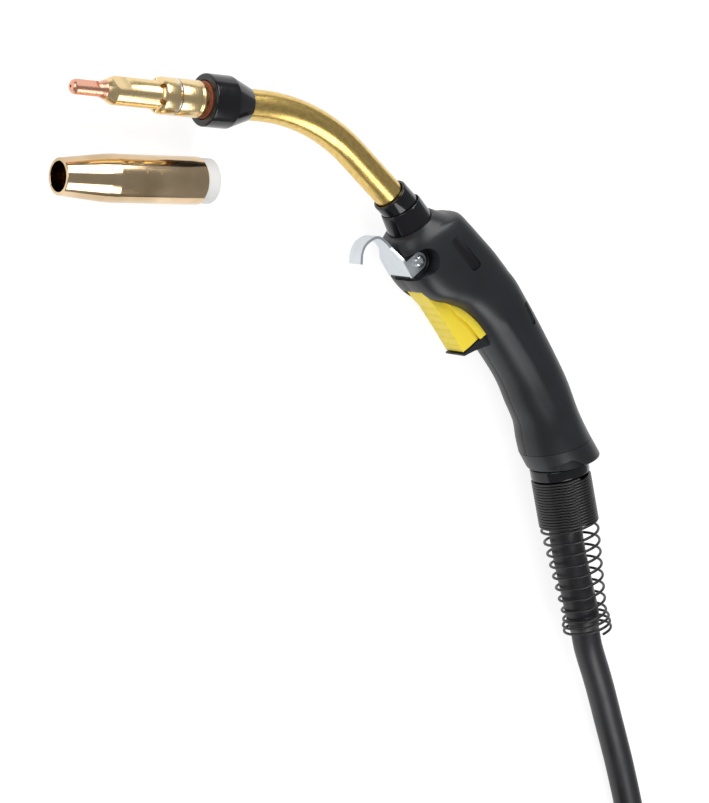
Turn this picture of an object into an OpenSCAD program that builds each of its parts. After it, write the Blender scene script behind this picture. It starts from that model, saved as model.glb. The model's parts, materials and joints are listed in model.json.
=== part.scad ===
// MIG welding torch with gooseneck, pistol trigger handle, cable and central connector.
// The torch lies on its side. Its plane of symmetry is level, and the nozzle lies beside it.

/* [Neck] */
// Angle of the main bend of the neck, degrees
neck_angle = 36.5; // [30:0.5:45]
// Radius of the main bend, on the centre line
neck_bend_r = 104; // [90:1:120]
// Straight length of the neck between the main bend and the handle bend
neck_len = 39.6; // [38:0.2:60]
// Outer diameter of the brass neck tube
neck_d = 16.8; // [16:0.2:18]
// Wall of the brass neck tube
neck_wall = 1.2; // [0.8:0.1:1.6]
// Outer diameter of the copper conductor inside the neck
conductor_d = 11.6; // [9:0.2:12]
// Bore of the copper conductor
conductor_bore = 6; // [5:0.5:7]
// Angle between the neck and the handle, degrees
handle_angle = 13.5; // [8:0.5:16]

/* [Head] */
// From the crossing of the head and neck axes to the front face of the insulator
head_len = 70.8; // [66:0.2:90]
// Outer diameter of the black neck insulator
insulator_d = 28; // [26:0.5:32]
// Length of the black neck insulator
insulator_len = 27.2; // [24:0.2:32]
// Length of the gas diffuser in front of the insulator
diffuser_len = 57.8; // [54:0.2:64]
// Outer diameter of the rear barrel of the diffuser
diffuser_rear_d = 19.6; // [18:0.2:22]
// Outer diameter of the front barrel of the diffuser
diffuser_front_d = 15; // [13:0.2:16]
// Diameter of the six gas holes
gas_hole_d = 2.6; // [1.6:0.1:3]
// Diameter of the contact tip
tip_d = 8; // [6:0.2:9]
// Length of the contact tip that stands in front of the diffuser
tip_len = 22.2; // [20:0.1:30]
// Bore of the contact tip for the welding wire
wire_bore_d = 1.4; // [0.8:0.1:2]

/* [Nozzle] */
// Outer diameter of the nozzle body
nozzle_d = 25.4; // [24:0.2:28]
// Bore of the nozzle mouth
nozzle_bore = 15.9; // [12:0.1:19]
// Length of the brass nozzle body
nozzle_len = 84; // [76:1:90]
// Length of the taper to the mouth
nozzle_taper = 28; // [20:1:34]
// Wall of the nozzle at the mouth
nozzle_wall = 1.75; // [1.2:0.05:2.4]
// How far the white insulator ring stands out at the rear
nozzle_ring = 7.8; // [4:0.2:9]
// Bore of the nozzle insulator, which slides over the diffuser
nozzle_seat_d = 20.1; // [19.8:0.1:21]

/* [Collars] */
// Outer diameter of the sleeve on the neck
sleeve_d = 20.9; // [19.6:0.1:22]
// Length of the sleeve on the neck
sleeve_len = 10.8; // [9:0.2:14]
// Outer diameter of the conical boot where it enters the handle
boot_d = 26.4; // [25:0.2:27.4]

/* [Handle] */
// Length of the handle shells from the handle bend to the rear seam
handle_len = 178; // [176:0.5:196]
// Height of the back of the handle above the boot axis
handle_back = 39; // [38:0.5:44]
// Depth of the handle's front half below the boot axis
handle_belly = 21; // [20:0.5:24]
// Thickness of the front half of the handle
head_thick = 40; // [38:0.5:42]
// Thickness of the grip at its waist
grip_thick = 34; // [32:0.5:38]
// Wall of the handle shells
shell_wall = 2.6; // [2:0.1:3]
// Diameter of the ring that closes the handle at the rear
ring_d = 43; // [42:0.5:45]
// Length of the rear ring
ring_len = 12.4; // [12:0.2:18]
// Angle between the handle and the cable support, degrees
rear_angle = 21; // [14:0.5:24]

/* [Trigger] */
// Width of the trigger lever
trigger_w = 15.4; // [13:0.2:15.6]
// Travel of the trigger lever about its pin, degrees
trigger_travel = 5; // [3:0.5:5]
// Diameter of the trigger pin
trigger_pin_d = 3; // [2.5:0.1:3.4]

/* [Hook] */
// Thickness of the hook strip
hook_t = 1.5; // [1:0.1:1.8]
// Width of the hook strip at its arch
hook_w = 10.5; // [8:0.5:14]
// Distance between the outer faces of the two ears
hook_span = 21; // [20:0.2:22]
// Diameter of the rounded pocket round each ear
pocket_d = 15; // [14:0.2:16]

/* [Cable support] */
// Outer diameter of the support spring at the handle
spring_d = 35; // [34:0.5:38]
// Outer diameter of the support spring where it is narrowest
spring_waist_d = 26.6; // [25:0.2:30]
// Outer diameter of the last turns
spring_end_d = 29; // [27:0.2:32]
// Diameter of the spring wire
spring_wire = 1.8; // [1.4:0.1:1.9]
// Length of the closely wound part
spring_close_len = 28.6; // [26:0.2:30]
// Length of the open part
spring_open_len = 56.9; // [48:0.1:60]
// Length of the last turns
spring_end_len = 12; // [10:0.2:14]
// Number of closely wound turns
spring_close_turns = 12; // [8:1:12]
// Number of open turns
spring_open_turns = 8; // [6:1:9]
// Number of last turns
spring_end_turns = 3; // [2:1:3]

/* [Cable] */
// Outer diameter of the cable
cable_d = 17; // [15:0.5:17]
// Diameter of the conductor hose inside the handle
hose_d = 11; // [9:0.5:11]

/* [Connector] */
// Outer diameter of the adaptor nut
nut_d = 42; // [40:0.5:42]
// Length of the adaptor nut
nut_len = 26; // [24:0.5:30]
// Diameter of the brass connector body
plug_core_d = 27; // [24:0.5:28]
// Length of the moulded connector housing
plug_len = 52; // [46:1:60]
// Outer diameter of the moulded connector housing
plug_d = 36; // [33:0.5:38]
// Diameter of the hollow current pin
spigot_d = 13; // [12:0.2:14]
// Length of the hollow current pin
spigot_len = 22; // [18:0.5:26]
// Diameter of the two control pins
pin_d = 4; // [3:0.2:4.4]
// Travel of the spring-loaded control pins
pin_travel = 3; // [2:0.5:4]

/* [Hidden] */

$fn = 48;
eps = 0.02;
// Running clearance of a pin or a thread in its hole
fit = 0.05;
// Clearance between bent tubes, and of fixed parts in their seats
slack = 0.1;
// Clearance between curved faces that lie together
gap = 0.3;

// Plane of the torch: x runs along the head axis, and the head and neck axes cross at 0, 0
mid_z = ring_d / 2;
handle_bend_r = 45;
bend_tangent = neck_bend_r * tan(neck_angle / 2);
handle_tangent = handle_bend_r * tan(handle_angle / 2);
handle_turn = -(neck_angle + handle_angle);
handle_at = turned([bend_tangent + neck_len + handle_tangent, 0], -neck_angle);
neck_r = neck_d / 2;
conductor_r = conductor_d / 2;
sleeve_slack = 0.5;
jacket_end = 12;

// Head, measured forward from the front face of the insulator
rear_r = diffuser_rear_d / 2;
front_r = diffuser_front_d / 2;
shank_len = 12.5;
shank_r = neck_r - 0.2;
washer_t = 1.5;
washer_sunk = 1.1;
washer_r = rear_r + 0.1;
groove_at = 17.8;
groove_w = 1.9;
groove_depth = 1.4;
collar_to = 25.8;
round_to = 29.5;
gas_holes_at = 29.1;
gas_holes_turn = 215;
flats_turn = 228;
flats_len = 8.2;
flats_depth = 1.5;
cutter_r = 13.2;
chamber_r = 4.6;
tip_r = tip_d / 2;
tip_thread_r = tip_r - 0.55;
tip_thread_len = 12;
tip_to = diffuser_len + tip_len;
tip_flat_from = 7.3;
tip_flat_len = 13.2;
tip_flat_depth = 0.9;
tip_flat_turn = 230;

// Handle frame: x runs along the boot axis from the handle bend, y points to the back of the handle
nose_u = 11;
nose_r = 14.5;
nose_hole_r = boot_d / 2 + gap;
block_r = 8.5;
grip_v = 3;
seam_turn = 19;
rear_at = [handle_len, 14.2];
rear_turn = handle_turn - rear_angle;
ring_r = ring_d / 2 - 0.4;
ring_drop = 0.6;

// Stations of the handle along its length: belly x, y, back x, y, half thickness, squareness
handle_rows = [
    [nose_u, -nose_r, nose_u, nose_r, nose_r, 2],
    [nose_u + 1, -handle_belly + 4, nose_u + 6.5, nose_r + 5.5, head_thick / 2 - 3.6, 2.4],
    [17, -handle_belly + 1.2, 21.5, handle_back - 13, head_thick / 2 - 1.5, 2.8],
    [25, -handle_belly, 30, handle_back - 11, head_thick / 2 - 0.4, 3.2],
    [37, -handle_belly, 41, handle_back - 8.7, head_thick / 2, 3.4],
    [49, -handle_belly + 3.5, 53, handle_back - 6, head_thick / 2, 3.4],
    [58, -handle_belly + 10.5, 64, handle_back - 4.3, head_thick / 2 - 0.2, 3.2],
    [67, -4, 75, handle_back - 2.1, head_thick / 2 - 0.7, 3],
    [78, 0, 88, handle_back - 1.3, head_thick / 2 - 1.3, 2.8],
    [90, 1.5, 100, handle_back - 0.5, grip_thick / 2 + 1, 2.6],
    [113, grip_v, 118, handle_back - 0.1, grip_thick / 2 + 0.2, 2.4],
    [127, grip_v, 134, handle_back - 0.3, grip_thick / 2, 2.3],
    [140, grip_v - 1.8, handle_len - 29, handle_back - 1.2, grip_thick / 2 + 0.4, 2.2],
    [handle_len - 25, grip_v - 3.1, handle_len - 12, handle_back - 4.2, grip_thick / 2 + 1.6, 2.1],
    [each seam_point(-9, -ring_r + 2.6), each seam_point(-9, ring_r + 0.4), ring_r - 0.9, 2],
    [each seam_point(0, -ring_r), each seam_point(0, ring_r), ring_r, 2]
];
row_steps = 2;
arc_steps = 14;

// The same stations for the inside of the wall, from behind the solid nose to beyond the seam
inner_ring_r = ring_r - shell_wall;
inner_rows = [
    for (i = [2 : len(handle_rows) - 1]) inset_row(handle_rows[i], shell_wall, i == 2 ? shell_wall : 0),
    [each seam_point(6, -inner_ring_r), each seam_point(6, inner_ring_r), inner_ring_r, 2]
];

// Outside of the rear ring, with walls along the handle, from the seam to a face square to the cable
ring_chamfer = 1.5;
ring_belly = seam_point(slack, -ring_r);
ring_spine = seam_point(slack, ring_r);
ring_rows = [
    [each ring_belly, each ring_spine, ring_r, 2],
    ring_row((ring_len - ring_chamfer) / 2, 0),
    ring_row(ring_len - ring_chamfer, 0),
    ring_row(ring_len, ring_chamfer)
];
// Notch on both sides of the ring, in the frame of the cable support, down to a round shoulder
notch_r = 18.8;
notch_points = [[6.2, -6], [8.3, -1.8], [12.9, 3.2], [ring_len + 2, 4], [ring_len + 2, -26], [11.6, -23],
    [10.1, -17.5], [7.8, -11.1]];

// Screws that join the shells: x, y in the handle frame, and depth of the head's seat
shell_screw_at = [[36, 22, 14], [74, 29, 11], [112, 33, 9], [128, 8.6, 9], [handle_len - 24.7, 4.6, 9]];
boss_r = 3.2;
shell_screw_r = 1.5;
shell_head_r = 2.4;
shell_head_h = 1.8;
thread_in = 7;

// Label recess, and the slot beside the back
label_points = [[26.6, 5.6], [26.6, 12], [49.8, 16.2], [49.8, 9.2]];
label_z = head_thick / 2 - 1;
back_slot = [[88.7, 31.3], [101.6, 30.5]];

// Neck block inside the nose of the handle, and the ribs of the shells that hold it
block_from = 14;
block_len = 18;
rib_at = 28;
rib_t = 2;
hose_from = block_from + block_len + eps;
core_from_u = 100;
hose_points = [[hose_from, 0, 0], [hose_from + 2.5, 0, 0], [38, 0.9, 0], [42, 2.8, 0], [47, 6.2, 0], [52, 9.6, 0],
    [57, 12.2, 0], [64, 14.4, 0], [72, 15.8, 0], [80, 16.9, 0], [90, 18.2, 0], [core_from_u - gap, 19.4, 0]];
core_points = [[core_from_u, 19.4, 0], [112, 20.6, 0], [handle_len - 54, 21, 0], [handle_len - 42, 20.8, 0],
    [handle_len - 30, 20.2, 0], [handle_len - 18, 18.6, 0], [handle_len - 8, 16.6, 0]];
cradle_at = [104, handle_len - 28];

// Hook
hook_pivot = [26.8, -12.3];
ear_r = 4.9;
hook_plate_v = -handle_belly + 0.4;
pocket_floor_t = 1.6;
ear_in = hook_span / 2 - hook_t;
hook_screw_r = 1.5;
hook_head_r = 3.2;
hook_points = [[31, 0], [15.1, 0], [7.7, -0.9], [1.8, -4.2], [0.3, -11.5], [2.5, -16.9], [7.5, -21.1]];

// Trigger
pin_at = [48, -11.5];
pin_r = trigger_pin_d / 2;
pin_half = 13;
window_from = 43.5;
window_to = 89.8;
window_step = 56;
lever_half = trigger_w / 2;
cheek_t = 1.6;
lever_points = [[43.9, -16.4], [54.7, -14.8], [67.6, -14.3], [79.4, -14.6], [89, -15], [89.3, -8], [89.2, -1.6],
    [72, -3.6], [60, -5.6], [50, -7.8], [45, -9], [43.8, -12]];
lever_hollow = [[52.5, -12.3], [67.6, -11.8], [86.8, -12.2], [86.8, 5], [52.5, 5]];
housing_in = lever_half + gap;
housing_t = 1.6;
shield_u = [57, 89.4];
housing_points = [[shield_u[0], -9.5], [59.7, -8.6], [67.6, -7.4], [77.1, -3.6], [shield_u[1], -1.5],
    [shield_u[1], 4.2], [shield_u[0], 4.2]];
housing_floor = 2.8;
floor_t = 1.4;
switch_u = [64, 84];
switch_half = 3.2;
switch_bottom = -5.4;
clamp_t = 1.4;
clamp_bottom = -1.5;
switch_screw_u = [67.5, 80.5];
switch_screw_v = 0.7;
button_u = 73;
button_r = 1.6;
button_out = 2.9;
button_in = 3.9;
post_r = 2.4;
lead_r = 0.8;
lead_z = 2;
terminal_u = [78.5, 82.5];
// Leads of the switch: share of the way to the cable, and rise
trigger_lead_points = [[0, 0], [0, 2], [0.18, 3.3], [0.44, 3.9], [0.7, 4.9], [0.88, 6.6], [1, 7.7]];
lead_to = core_from_u - 2 * gap;
lead_spread = 0.9;

// Cable support
nut_collar_len = 6.7;
nut_to = ring_len + nut_collar_len + 14;
nut_neck_r = 12;
curl_rings = 8;
support_r = (spring_d - spring_wire) / 2 * cos(180 / curl_rings) - spring_wire / 2 - gap;
spring_from = ring_len + nut_collar_len + gap;
spring_turns = spring_close_turns + spring_open_turns + spring_end_turns;
narrow_from = spring_from + spring_close_len;
narrow_to = narrow_from + spring_open_len;
spring_to = narrow_to + spring_end_len;
wire_sides = 6;
wire_r = spring_wire / 2;
spring_end_at = rear_at + turned([spring_to, 0], -rear_angle);

// Centre line of the spring wire along the support axis, with straight ends
spring_turns_path = [for (k = [0 : spring_turns * curl_rings]) spring_point(k / curl_rings)];
spring_path = [
    spring_turns_path[0] - spring_wire * unit(spring_turns_path[1] - spring_turns_path[0]),
    each spring_turns_path,
    spring_turns_path[spring_turns * curl_rings]
        + spring_wire * unit(spring_turns_path[spring_turns * curl_rings]
            - spring_turns_path[spring_turns * curl_rings - 1])
];

// The whole torch is centred on the origin, and lies on the floor
tip_x = -(head_len + tip_to);
rear_origin = handle_at + turned(rear_at, handle_turn);
spring_tail = handle_at + turned(spring_end_at, handle_turn);
spring_in_plane = [for (p = spring_path) rear_origin + turned([p[2], p[1]], rear_turn)];
shift = -[
    tip_x + max([for (p = spring_in_plane) p[0]]) + wire_r,
    insulator_d / 2 + min([for (p = spring_in_plane) p[1]]) - wire_r
] / 2;

// Nozzle beside the head
nozzle_at = [-148.7, -45.7];
nozzle_turn = 2.5;
nozzle_r = nozzle_d / 2;

// Cable on the floor, from the support spring to the coil, with the height above the floor
cable_r = cable_d / 2;
cable_sides = 12;
lead_points = [[233.9, -300.3, 18.1], [239.1, -308.4, 16.8], [245, -317.6, 15.1], [251.2, -328, 13.3],
    [257.6, -339.2, 11.5], [264.3, -351.6, 10.1], [270.7, -364.4, 9.2], [276.4, -377.2, 8.7], [282, -391, 8.5],
    [287.4, -406, 8.5], [291.8, -422.5, 8.5], [294.9, -440, 8.5], [296.5, -459, 8.5], [297, -480, 8.5],
    [297, -501, 8.5], [297, -523, 8.5]];
coil_at = [180, -540];
coil_out_r = 117;
coil_pitch = 17.6;
coil_turns = 4.25;
coil_layer = 17.6;
coil_straight = 17;
coil_rings = 24;
coil_sides = 6;
coil_climb = 0.5;
coil_path = [
    [coil_at[0] + coil_out_r, coil_at[1] + coil_straight, cable_r],
    for (k = [0 : coil_turns * coil_rings]) coil_point(k / coil_rings),
    [coil_at[0] - coil_straight, coil_at[1] - coil_out_r, cable_r + coil_layer]
];
tail_points = [[163, -657, 26.1], [146, -657, 26.1], [128, -657, 25.2], [110, -657, 23.4], [95, -657, 21.7],
    [84, -657, 21], [66, -657, 21]];
plug_at = [66, -657];
plug_z = nut_d / 2;

// Connector, measured along its axis from the cable end of its boot
boot_len = 44;
barb_r = 6;
housing_from = 36;
housing_to = housing_from + plug_len;
core_r = plug_core_d / 2;
core_from = boot_len + 1;
nut_from = housing_to + 1;
nut_lip = 6;
core_to = nut_from + nut_len - 6;
core_flange_r = core_r + 2;
pin_r2 = pin_d / 2;
pins_out = 9;
pins_in = 8;
pin_neck = 1;
pin_relief = 0.2;
pin_spread = 10;
socket_r = pin_r2 + 0.9;
spigot_r = spigot_d / 2;
guide_r = 2.4;
guide_out = 8;
ring_cord_r = 1;
ring_groove = 1.8;
ring_groove_at = 4;
ring_groove_w = 2.4;
plug_screw_at = [plug_d / 2 - 2.2, (housing_from + housing_to) / 2];
grooves = 8;
ribs = 20;

// Nozzle walls
nozzle_body_wall = 1.2;
nozzle_body_bore = nozzle_r - nozzle_body_wall;
crimps_at = [14, 8.6];

echo(spring_least_gap = least_gap(spring_path, wire_r, curl_rings / 2));
echo(coil_least_gap = least_gap(coil_path, cable_r, coil_rings / 2));

// ---------------------------------------------------------------- helpers

// A point of the plane turned about 0, 0
function turned(p, a) = [p[0] * cos(a) - p[1] * sin(a), p[0] * sin(a) + p[1] * cos(a)];
function dist(a, b) = norm(b - a);
function unit(v) = v / norm(v);
function power(x, e) = sign(x) * pow(abs(x), e);

// A smooth curve through rows of numbers, at t counted in rows
function row_at(rows, t) =
    let (
        last = len(rows) - 1,
        i = min(floor(t), last - 1),
        f = t - i,
        a = rows[max(i - 1, 0)],
        b = rows[i],
        c = rows[i + 1],
        d = rows[min(i + 2, last)]
    )
    b + f / 2 * ((c - a) + f * (2 * a - 5 * b + 4 * c - d + f * (3 * b - a - 3 * c + d)));

function smooth_path(points, steps) =
    [for (k = [0 : (len(points) - 1) * steps]) row_at(points, k / steps)];

// A value that blends from a to b while t goes from t0 to t1
function blend(t, t0, t1, a, b) = a + (b - a) * min(max((t - t0) / (t1 - t0), 0), 1);

// Least distance between the surfaces of turns that are at least skip points apart
function least_gap(path, r, skip) =
    min([for (i = [0 : len(path) - 1 - skip], j = [i + skip : len(path) - 1]) dist(path[i], path[j])]) - 2 * r;

// Centre of the spring wire after t turns: closely wound, open and narrowing, then the last turns
function spring_point(t) =
    let (
        t1 = spring_close_turns,
        t2 = t1 + spring_open_turns,
        r = t < t2
            ? blend(t, t1, t2, spring_d, spring_waist_d) / 2 - wire_r
            : blend(t, t2, t2 + 1, spring_waist_d, spring_end_d) / 2 - wire_r,
        z = spring_from + wire_r
            + blend(t, 0, t1, 0, spring_close_len)
            + blend(t, t1, t2, 0, spring_open_len)
            + blend(t, t2, spring_turns, 0, spring_end_len - spring_wire)
    )
    [-r * cos(360 * t), r * sin(360 * t), z];

// Free radius inside the turns, at a length from the handle
function spring_inner_r(s) =
    let (d = s < narrow_to
        ? blend(s, narrow_from, narrow_to, spring_d, spring_waist_d)
        : blend(s, narrow_to, narrow_to + spring_end_len / spring_end_turns, spring_waist_d, spring_end_d))
    (d - spring_wire) / 2 * cos(180 / curl_rings) - wire_r;

// How far the cable sinks inside the spring, at a length from the handle
function core_drop(s) = blend(s, nut_to, nut_to + 30, 0, spring_inner_r(s) - cable_r - 2 * gap);
function core_point(s) = [each rear_at + turned([s, 0], -rear_angle), -core_drop(s)];

// A point of the seam between the shells and the rear ring, moved along the handle
function seam_point(du, v) = rear_at + [du, -ring_drop] + turned([0, v], -seam_turn);

// A station of the rear ring in a plane square to the cable support
function ring_row(s, inset) =
    let (belly = ring_belly[1] + inset, spine = ring_spine[1] - inset)
    [support_u(s, belly), belly, support_u(s, spine), spine, ring_d / 2 - inset, 2];
function support_u(s, v) = rear_at[0] + s / cos(rear_angle) + (v - rear_at[1]) * tan(rear_angle);

// Centre of the coiled cable after t turns: in along the floor, up, and out again on top
function coil_point(t) =
    let (
        mid = coil_turns / 2,
        r = coil_out_r - coil_pitch * (mid - abs(t - mid)),
        z = cable_r + coil_layer * blend(t, mid - coil_climb / 2, mid + coil_climb / 2, 0, 1)
    )
    [coil_at[0] + r * cos(-360 * t), coil_at[1] + r * sin(-360 * t), z];

// A station drawn in by a wall, and moved back by a step
function inset_row(row, wall, back) =
    let (
        belly = [row[0], row[1]],
        spine = [row[2], row[3]],
        up = unit(spine - belly)
    )
    [each belly + wall * up + [back, 0], each spine - wall * up + [back, 0], row[4] - wall, row[5]];

// Half of a rounded section between its belly and its back, above the plane of symmetry
function half_section(row) =
    let (
        belly = [row[0], row[1]],
        spine = [row[2], row[3]],
        centre = (belly + spine) / 2,
        half = (spine - belly) / 2
    )
    [for (k = [0 : arc_steps])
        let (a = 180 * k / arc_steps, c = power(cos(a), 2 / row[5]))
        [each centre + c * half, row[4] * power(sin(a), 2 / row[5])]];

function half_sections(rows) =
    [for (k = [0 : (len(rows) - 1) * row_steps]) half_section(row_at(rows, k / row_steps))];

// Both halves of the same sections
function both_halves(ring) =
    [each ring, for (i = [arc_steps - 1 : -1 : 1]) [ring[i][0], ring[i][1], -ring[i][2]]];
function full_sections(rows) = [for (ring = half_sections(rows)) both_halves(ring)];

// Triangles between two neighbouring rings of n points
function band(a, b, n, closed) =
    [for (i = [0 : n - (closed ? 1 : 2)])
        let (j = (i + 1) % n)
        each [[a + i, b + i, a + j], [a + j, b + i, b + j]]];

function flip(faces) = [for (f = faces) [f[2], f[1], f[0]]];

function tangent_at(path, i) = unit(path[min(i + 1, len(path) - 1)] - path[max(i - 1, 0)]);

// A ring of points round a path, with its first side towards side_dir
function tube_ring(centre, along_dir, side_dir, r, sides) =
    let (
        y = unit(cross(along_dir, side_dir)),
        x = cross(y, along_dir)
    )
    [for (k = [0 : sides - 1]) centre + r * (cos(360 * k / sides) * x + sin(360 * k / sides) * y)];

// A solid through rings of equal count, closed at both ends
module skin(rings) {
    n = len(rings[0]);
    last = (len(rings) - 1) * n;
    polyhedron(
        points = [for (ring = rings) each ring],
        faces = [
            for (i = [0 : len(rings) - 2]) each band(i * n, (i + 1) * n, n, true),
            for (i = [1 : n - 2]) [0, i, i + 1],
            for (i = [1 : n - 2]) [last, last + i + 1, last + i]
        ]
    );
}

// A round tube swept along a path that never points straight up
module swept_tube(path, r, sides) {
    skin([for (i = [0 : len(path) - 1]) tube_ring(path[i], tangent_at(path, i), [0, 0, 1], r, sides)]);
}

// Lays children in the plane of the torch, at a height from it
module in_plane(z = 0) {
    translate([shift[0], shift[1], mid_z + z]) children();
}

// Turns the z axis of children into a direction of the plane
module along(p, a, z = 0) {
    in_plane(z) translate([p[0], p[1], 0]) rotate([0, 0, a]) rotate([0, 90, 0]) children();
}

// Head frame: z runs forward from the front face of the insulator
module at_head() {
    along([-head_len, 0], 180) children();
}

// Handle frame, and its version for parts that lie along an axis
module in_handle() {
    in_plane() translate([handle_at[0], handle_at[1], 0]) rotate([0, 0, handle_turn]) children();
}

module along_handle(p, a) {
    in_handle() translate([p[0], p[1], 0]) rotate([0, 0, a]) rotate([0, 90, 0]) children();
}

module along_rear() {
    along_handle(rear_at, -rear_angle) children();
}

module at_plug() {
    along(plug_at, 180, plug_z - mid_z) children();
}

module at_nozzle() {
    along(nozzle_at, nozzle_turn, nozzle_r - mid_z) children();
}

// A turned solid from its half profile of [radius, height]
module turned_part(profile) {
    rotate_extrude() polygon(profile);
}

// A slot with pointed ends between two points
module slot(p, q, w, h) {
    l = dist(p, q);
    translate([p[0], p[1], 0]) rotate([0, 0, atan2(q[1] - p[1], q[0] - p[0])]) linear_extrude(h)
        polygon([[0, -w / 2], [l, -w / 2], [l + w / 3, 0], [l, w / 2], [0, w / 2], [-w / 3, 0]]);
}

// A round tube between two planes of its axis
module tube(r_out, r_in, from, to) {
    turned_part([[r_in, from], [r_out, from], [r_out, to], [r_in, to]]);
}

// A bent round tube that starts at 0, 0 along x and turns down by an angle
module tube_bend(r_out, r_in, bend_r, angle) {
    translate([0, -bend_r, 0]) rotate([0, 0, 90 - angle]) rotate_extrude(angle = angle)
        translate([bend_r, 0]) difference() {
            circle(r_out);
            circle(r_in);
        }
}

// Follows the neck from a length before the main bend to a length past the handle bend
module neck_tube(r_out, r_in, front, back) {
    bend_end = turned([bend_tangent, 0], -neck_angle);
    second = turned([bend_tangent + neck_len, 0], -neck_angle);
    along([-bend_tangent, 0], 0) tube(r_out - fit, r_in + fit, -front, fit);
    in_plane() translate([-bend_tangent, 0, 0]) tube_bend(r_out, r_in, neck_bend_r, neck_angle);
    along(bend_end, -neck_angle) tube(r_out - fit, r_in + fit, -fit, neck_len + fit);
    in_plane() translate([second[0], second[1], 0]) rotate([0, 0, -neck_angle])
        tube_bend(r_out, r_in, handle_bend_r, handle_angle);
    along_handle([handle_tangent, 0], 0) tube(r_out - fit, r_in + fit, -fit, back);
}

// A screw with a domed head on z = 0 and its shank below
module screw(head_r, head_h, shank_r, length) {
    difference() {
        union() {
            translate([0, 0, -length]) cylinder(r = shank_r, h = length + eps);
            turned_part([[0, 0], [head_r, 0], [head_r, head_h * 0.55], [head_r * 0.7, head_h], [0, head_h]]);
        }
        for (a = [0, 90]) rotate([0, 0, a])
            translate([-head_r * 0.6, -0.45, head_h * 0.45]) cube([head_r * 1.2, 0.9, head_h]);
    }
}

// A block of the handle frame between two corners
module handle_block(from, to) {
    translate(from) cube(to - from);
}

// ---------------------------------------------------------------- head

module contact_tip() {
    color("#c8835a") at_head() difference() {
        turned_part([
            [0, diffuser_len - tip_thread_len], [tip_thread_r, diffuser_len - tip_thread_len],
            [tip_thread_r, diffuser_len], [tip_r + 1, diffuser_len], [tip_r + 1, diffuser_len + 0.5],
            [tip_r, diffuser_len + 4], [tip_r, tip_to - 2.6], [tip_r - 0.5, tip_to - 1.3],
            [tip_r - 1.3, tip_to - 0.4], [tip_r - 2.4, tip_to], [0, tip_to]
        ]);
        translate([0, 0, diffuser_len - tip_thread_len - 1])
            cylinder(d = wire_bore_d, h = tip_thread_len + tip_len + 2);
        for (a = [0, 180]) rotate([0, 0, tip_flat_turn + a])
            translate([tip_r - tip_flat_depth, -tip_d, diffuser_len + tip_flat_from])
            cube([tip_d, 2 * tip_d, tip_flat_len]);
    }
}

module gas_diffuser() {
    socket = conductor_r + fit;
    thread = tip_thread_r + fit;
    color("#cbb277") at_head() difference() {
        turned_part([
            [socket, -shank_len], [shank_r, -shank_len], [shank_r, washer_t - washer_sunk],
            [rear_r - 1, washer_t - washer_sunk], [rear_r - 1, 3], [rear_r, 4.4], [rear_r, groove_at],
            [rear_r - groove_depth, groove_at], [rear_r - groove_depth, groove_at + groove_w],
            [rear_r, groove_at + groove_w],
            for (a = [0 : 15 : 90])
                [front_r + (rear_r - front_r) * cos(a), collar_to + (round_to - collar_to) * sin(a)],
            [front_r, diffuser_len - 4.8], [tip_r + 1.2, diffuser_len], [thread, diffuser_len],
            [thread, diffuser_len - tip_thread_len - 1], [chamber_r, diffuser_len - tip_thread_len - 2],
            [chamber_r, -2], [socket, -2]
        ]);
        for (i = [0 : 5]) rotate([0, 0, gas_holes_turn + 60 * i]) translate([0, 0, gas_holes_at])
            rotate([0, 90, 0]) cylinder(d = gas_hole_d, h = insulator_d);
        for (a = [0, 180]) rotate([0, 0, flats_turn + a]) {
            translate([front_r - flats_depth, -rear_r, diffuser_len - flats_len])
                cube([rear_r, 2 * rear_r, flats_len + 1]);
            translate([front_r - flats_depth + cutter_r, -rear_r, diffuser_len - flats_len])
                rotate([-90, 0, 0]) cylinder(r = cutter_r, h = 2 * rear_r);
        }
    }
}

module nozzle_retaining_ring() {
    color("#c9ccd0") at_head() rotate([0, 0, 200]) rotate_extrude(angle = 332)
        translate([rear_r - groove_depth + fit, groove_at + 0.15])
        square([groove_depth - 0.35, groove_w - 0.3]);
}

module insulating_washer() {
    color("#8a3b2c") at_head() tube(washer_r, shank_r + slack, -washer_sunk, washer_t - washer_sunk);
}

module neck_insulator() {
    r = insulator_d / 2;
    bore = neck_r + fit;
    recess = washer_r + 0.45;
    color("#1d1d1f") at_head() turned_part([
        [recess, 0], [r - 0.9, 0], [r - 0.3, -0.3], [r, -0.9], [r, -insulator_len + 12.4],
        [neck_r + 0.7, -insulator_len], [bore, -insulator_len], [bore, -washer_sunk], [recess, -washer_sunk]
    ]);
}

// ---------------------------------------------------------------- neck

module gooseneck_jacket() {
    color("#b3925a")
        neck_tube(neck_r, neck_r - neck_wall, head_len - shank_len - 1 - bend_tangent, jacket_end - handle_tangent);
}

module gooseneck_insulation() {
    color("#e4e0d6") neck_tube(neck_r - neck_wall - slack, conductor_r + slack,
        head_len - shank_len - 1 - bend_tangent, jacket_end - handle_tangent);
}

module gooseneck_conductor() {
    color("#b87333") neck_tube(conductor_r, conductor_bore / 2,
        head_len - 3 - bend_tangent, block_from + block_len / 2 - handle_tangent);
}

module wire_liner() {
    color("#8f8f92") neck_tube(conductor_bore / 2 - slack, 1.1,
        head_len + diffuser_len - tip_thread_len - 3 - bend_tangent, block_from + block_len - handle_tangent);
}

module neck_sleeve() {
    r = sleeve_d / 2;
    color("#222225") along(handle_at, -neck_angle) turned_part([
        [neck_r + sleeve_slack, -sleeve_len], [r - 0.5, -sleeve_len], [r, -sleeve_len + 0.5],
        [r, 0.3], [r - 0.5, 0.8], [neck_r + sleeve_slack, 0.8]
    ]);
}

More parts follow.
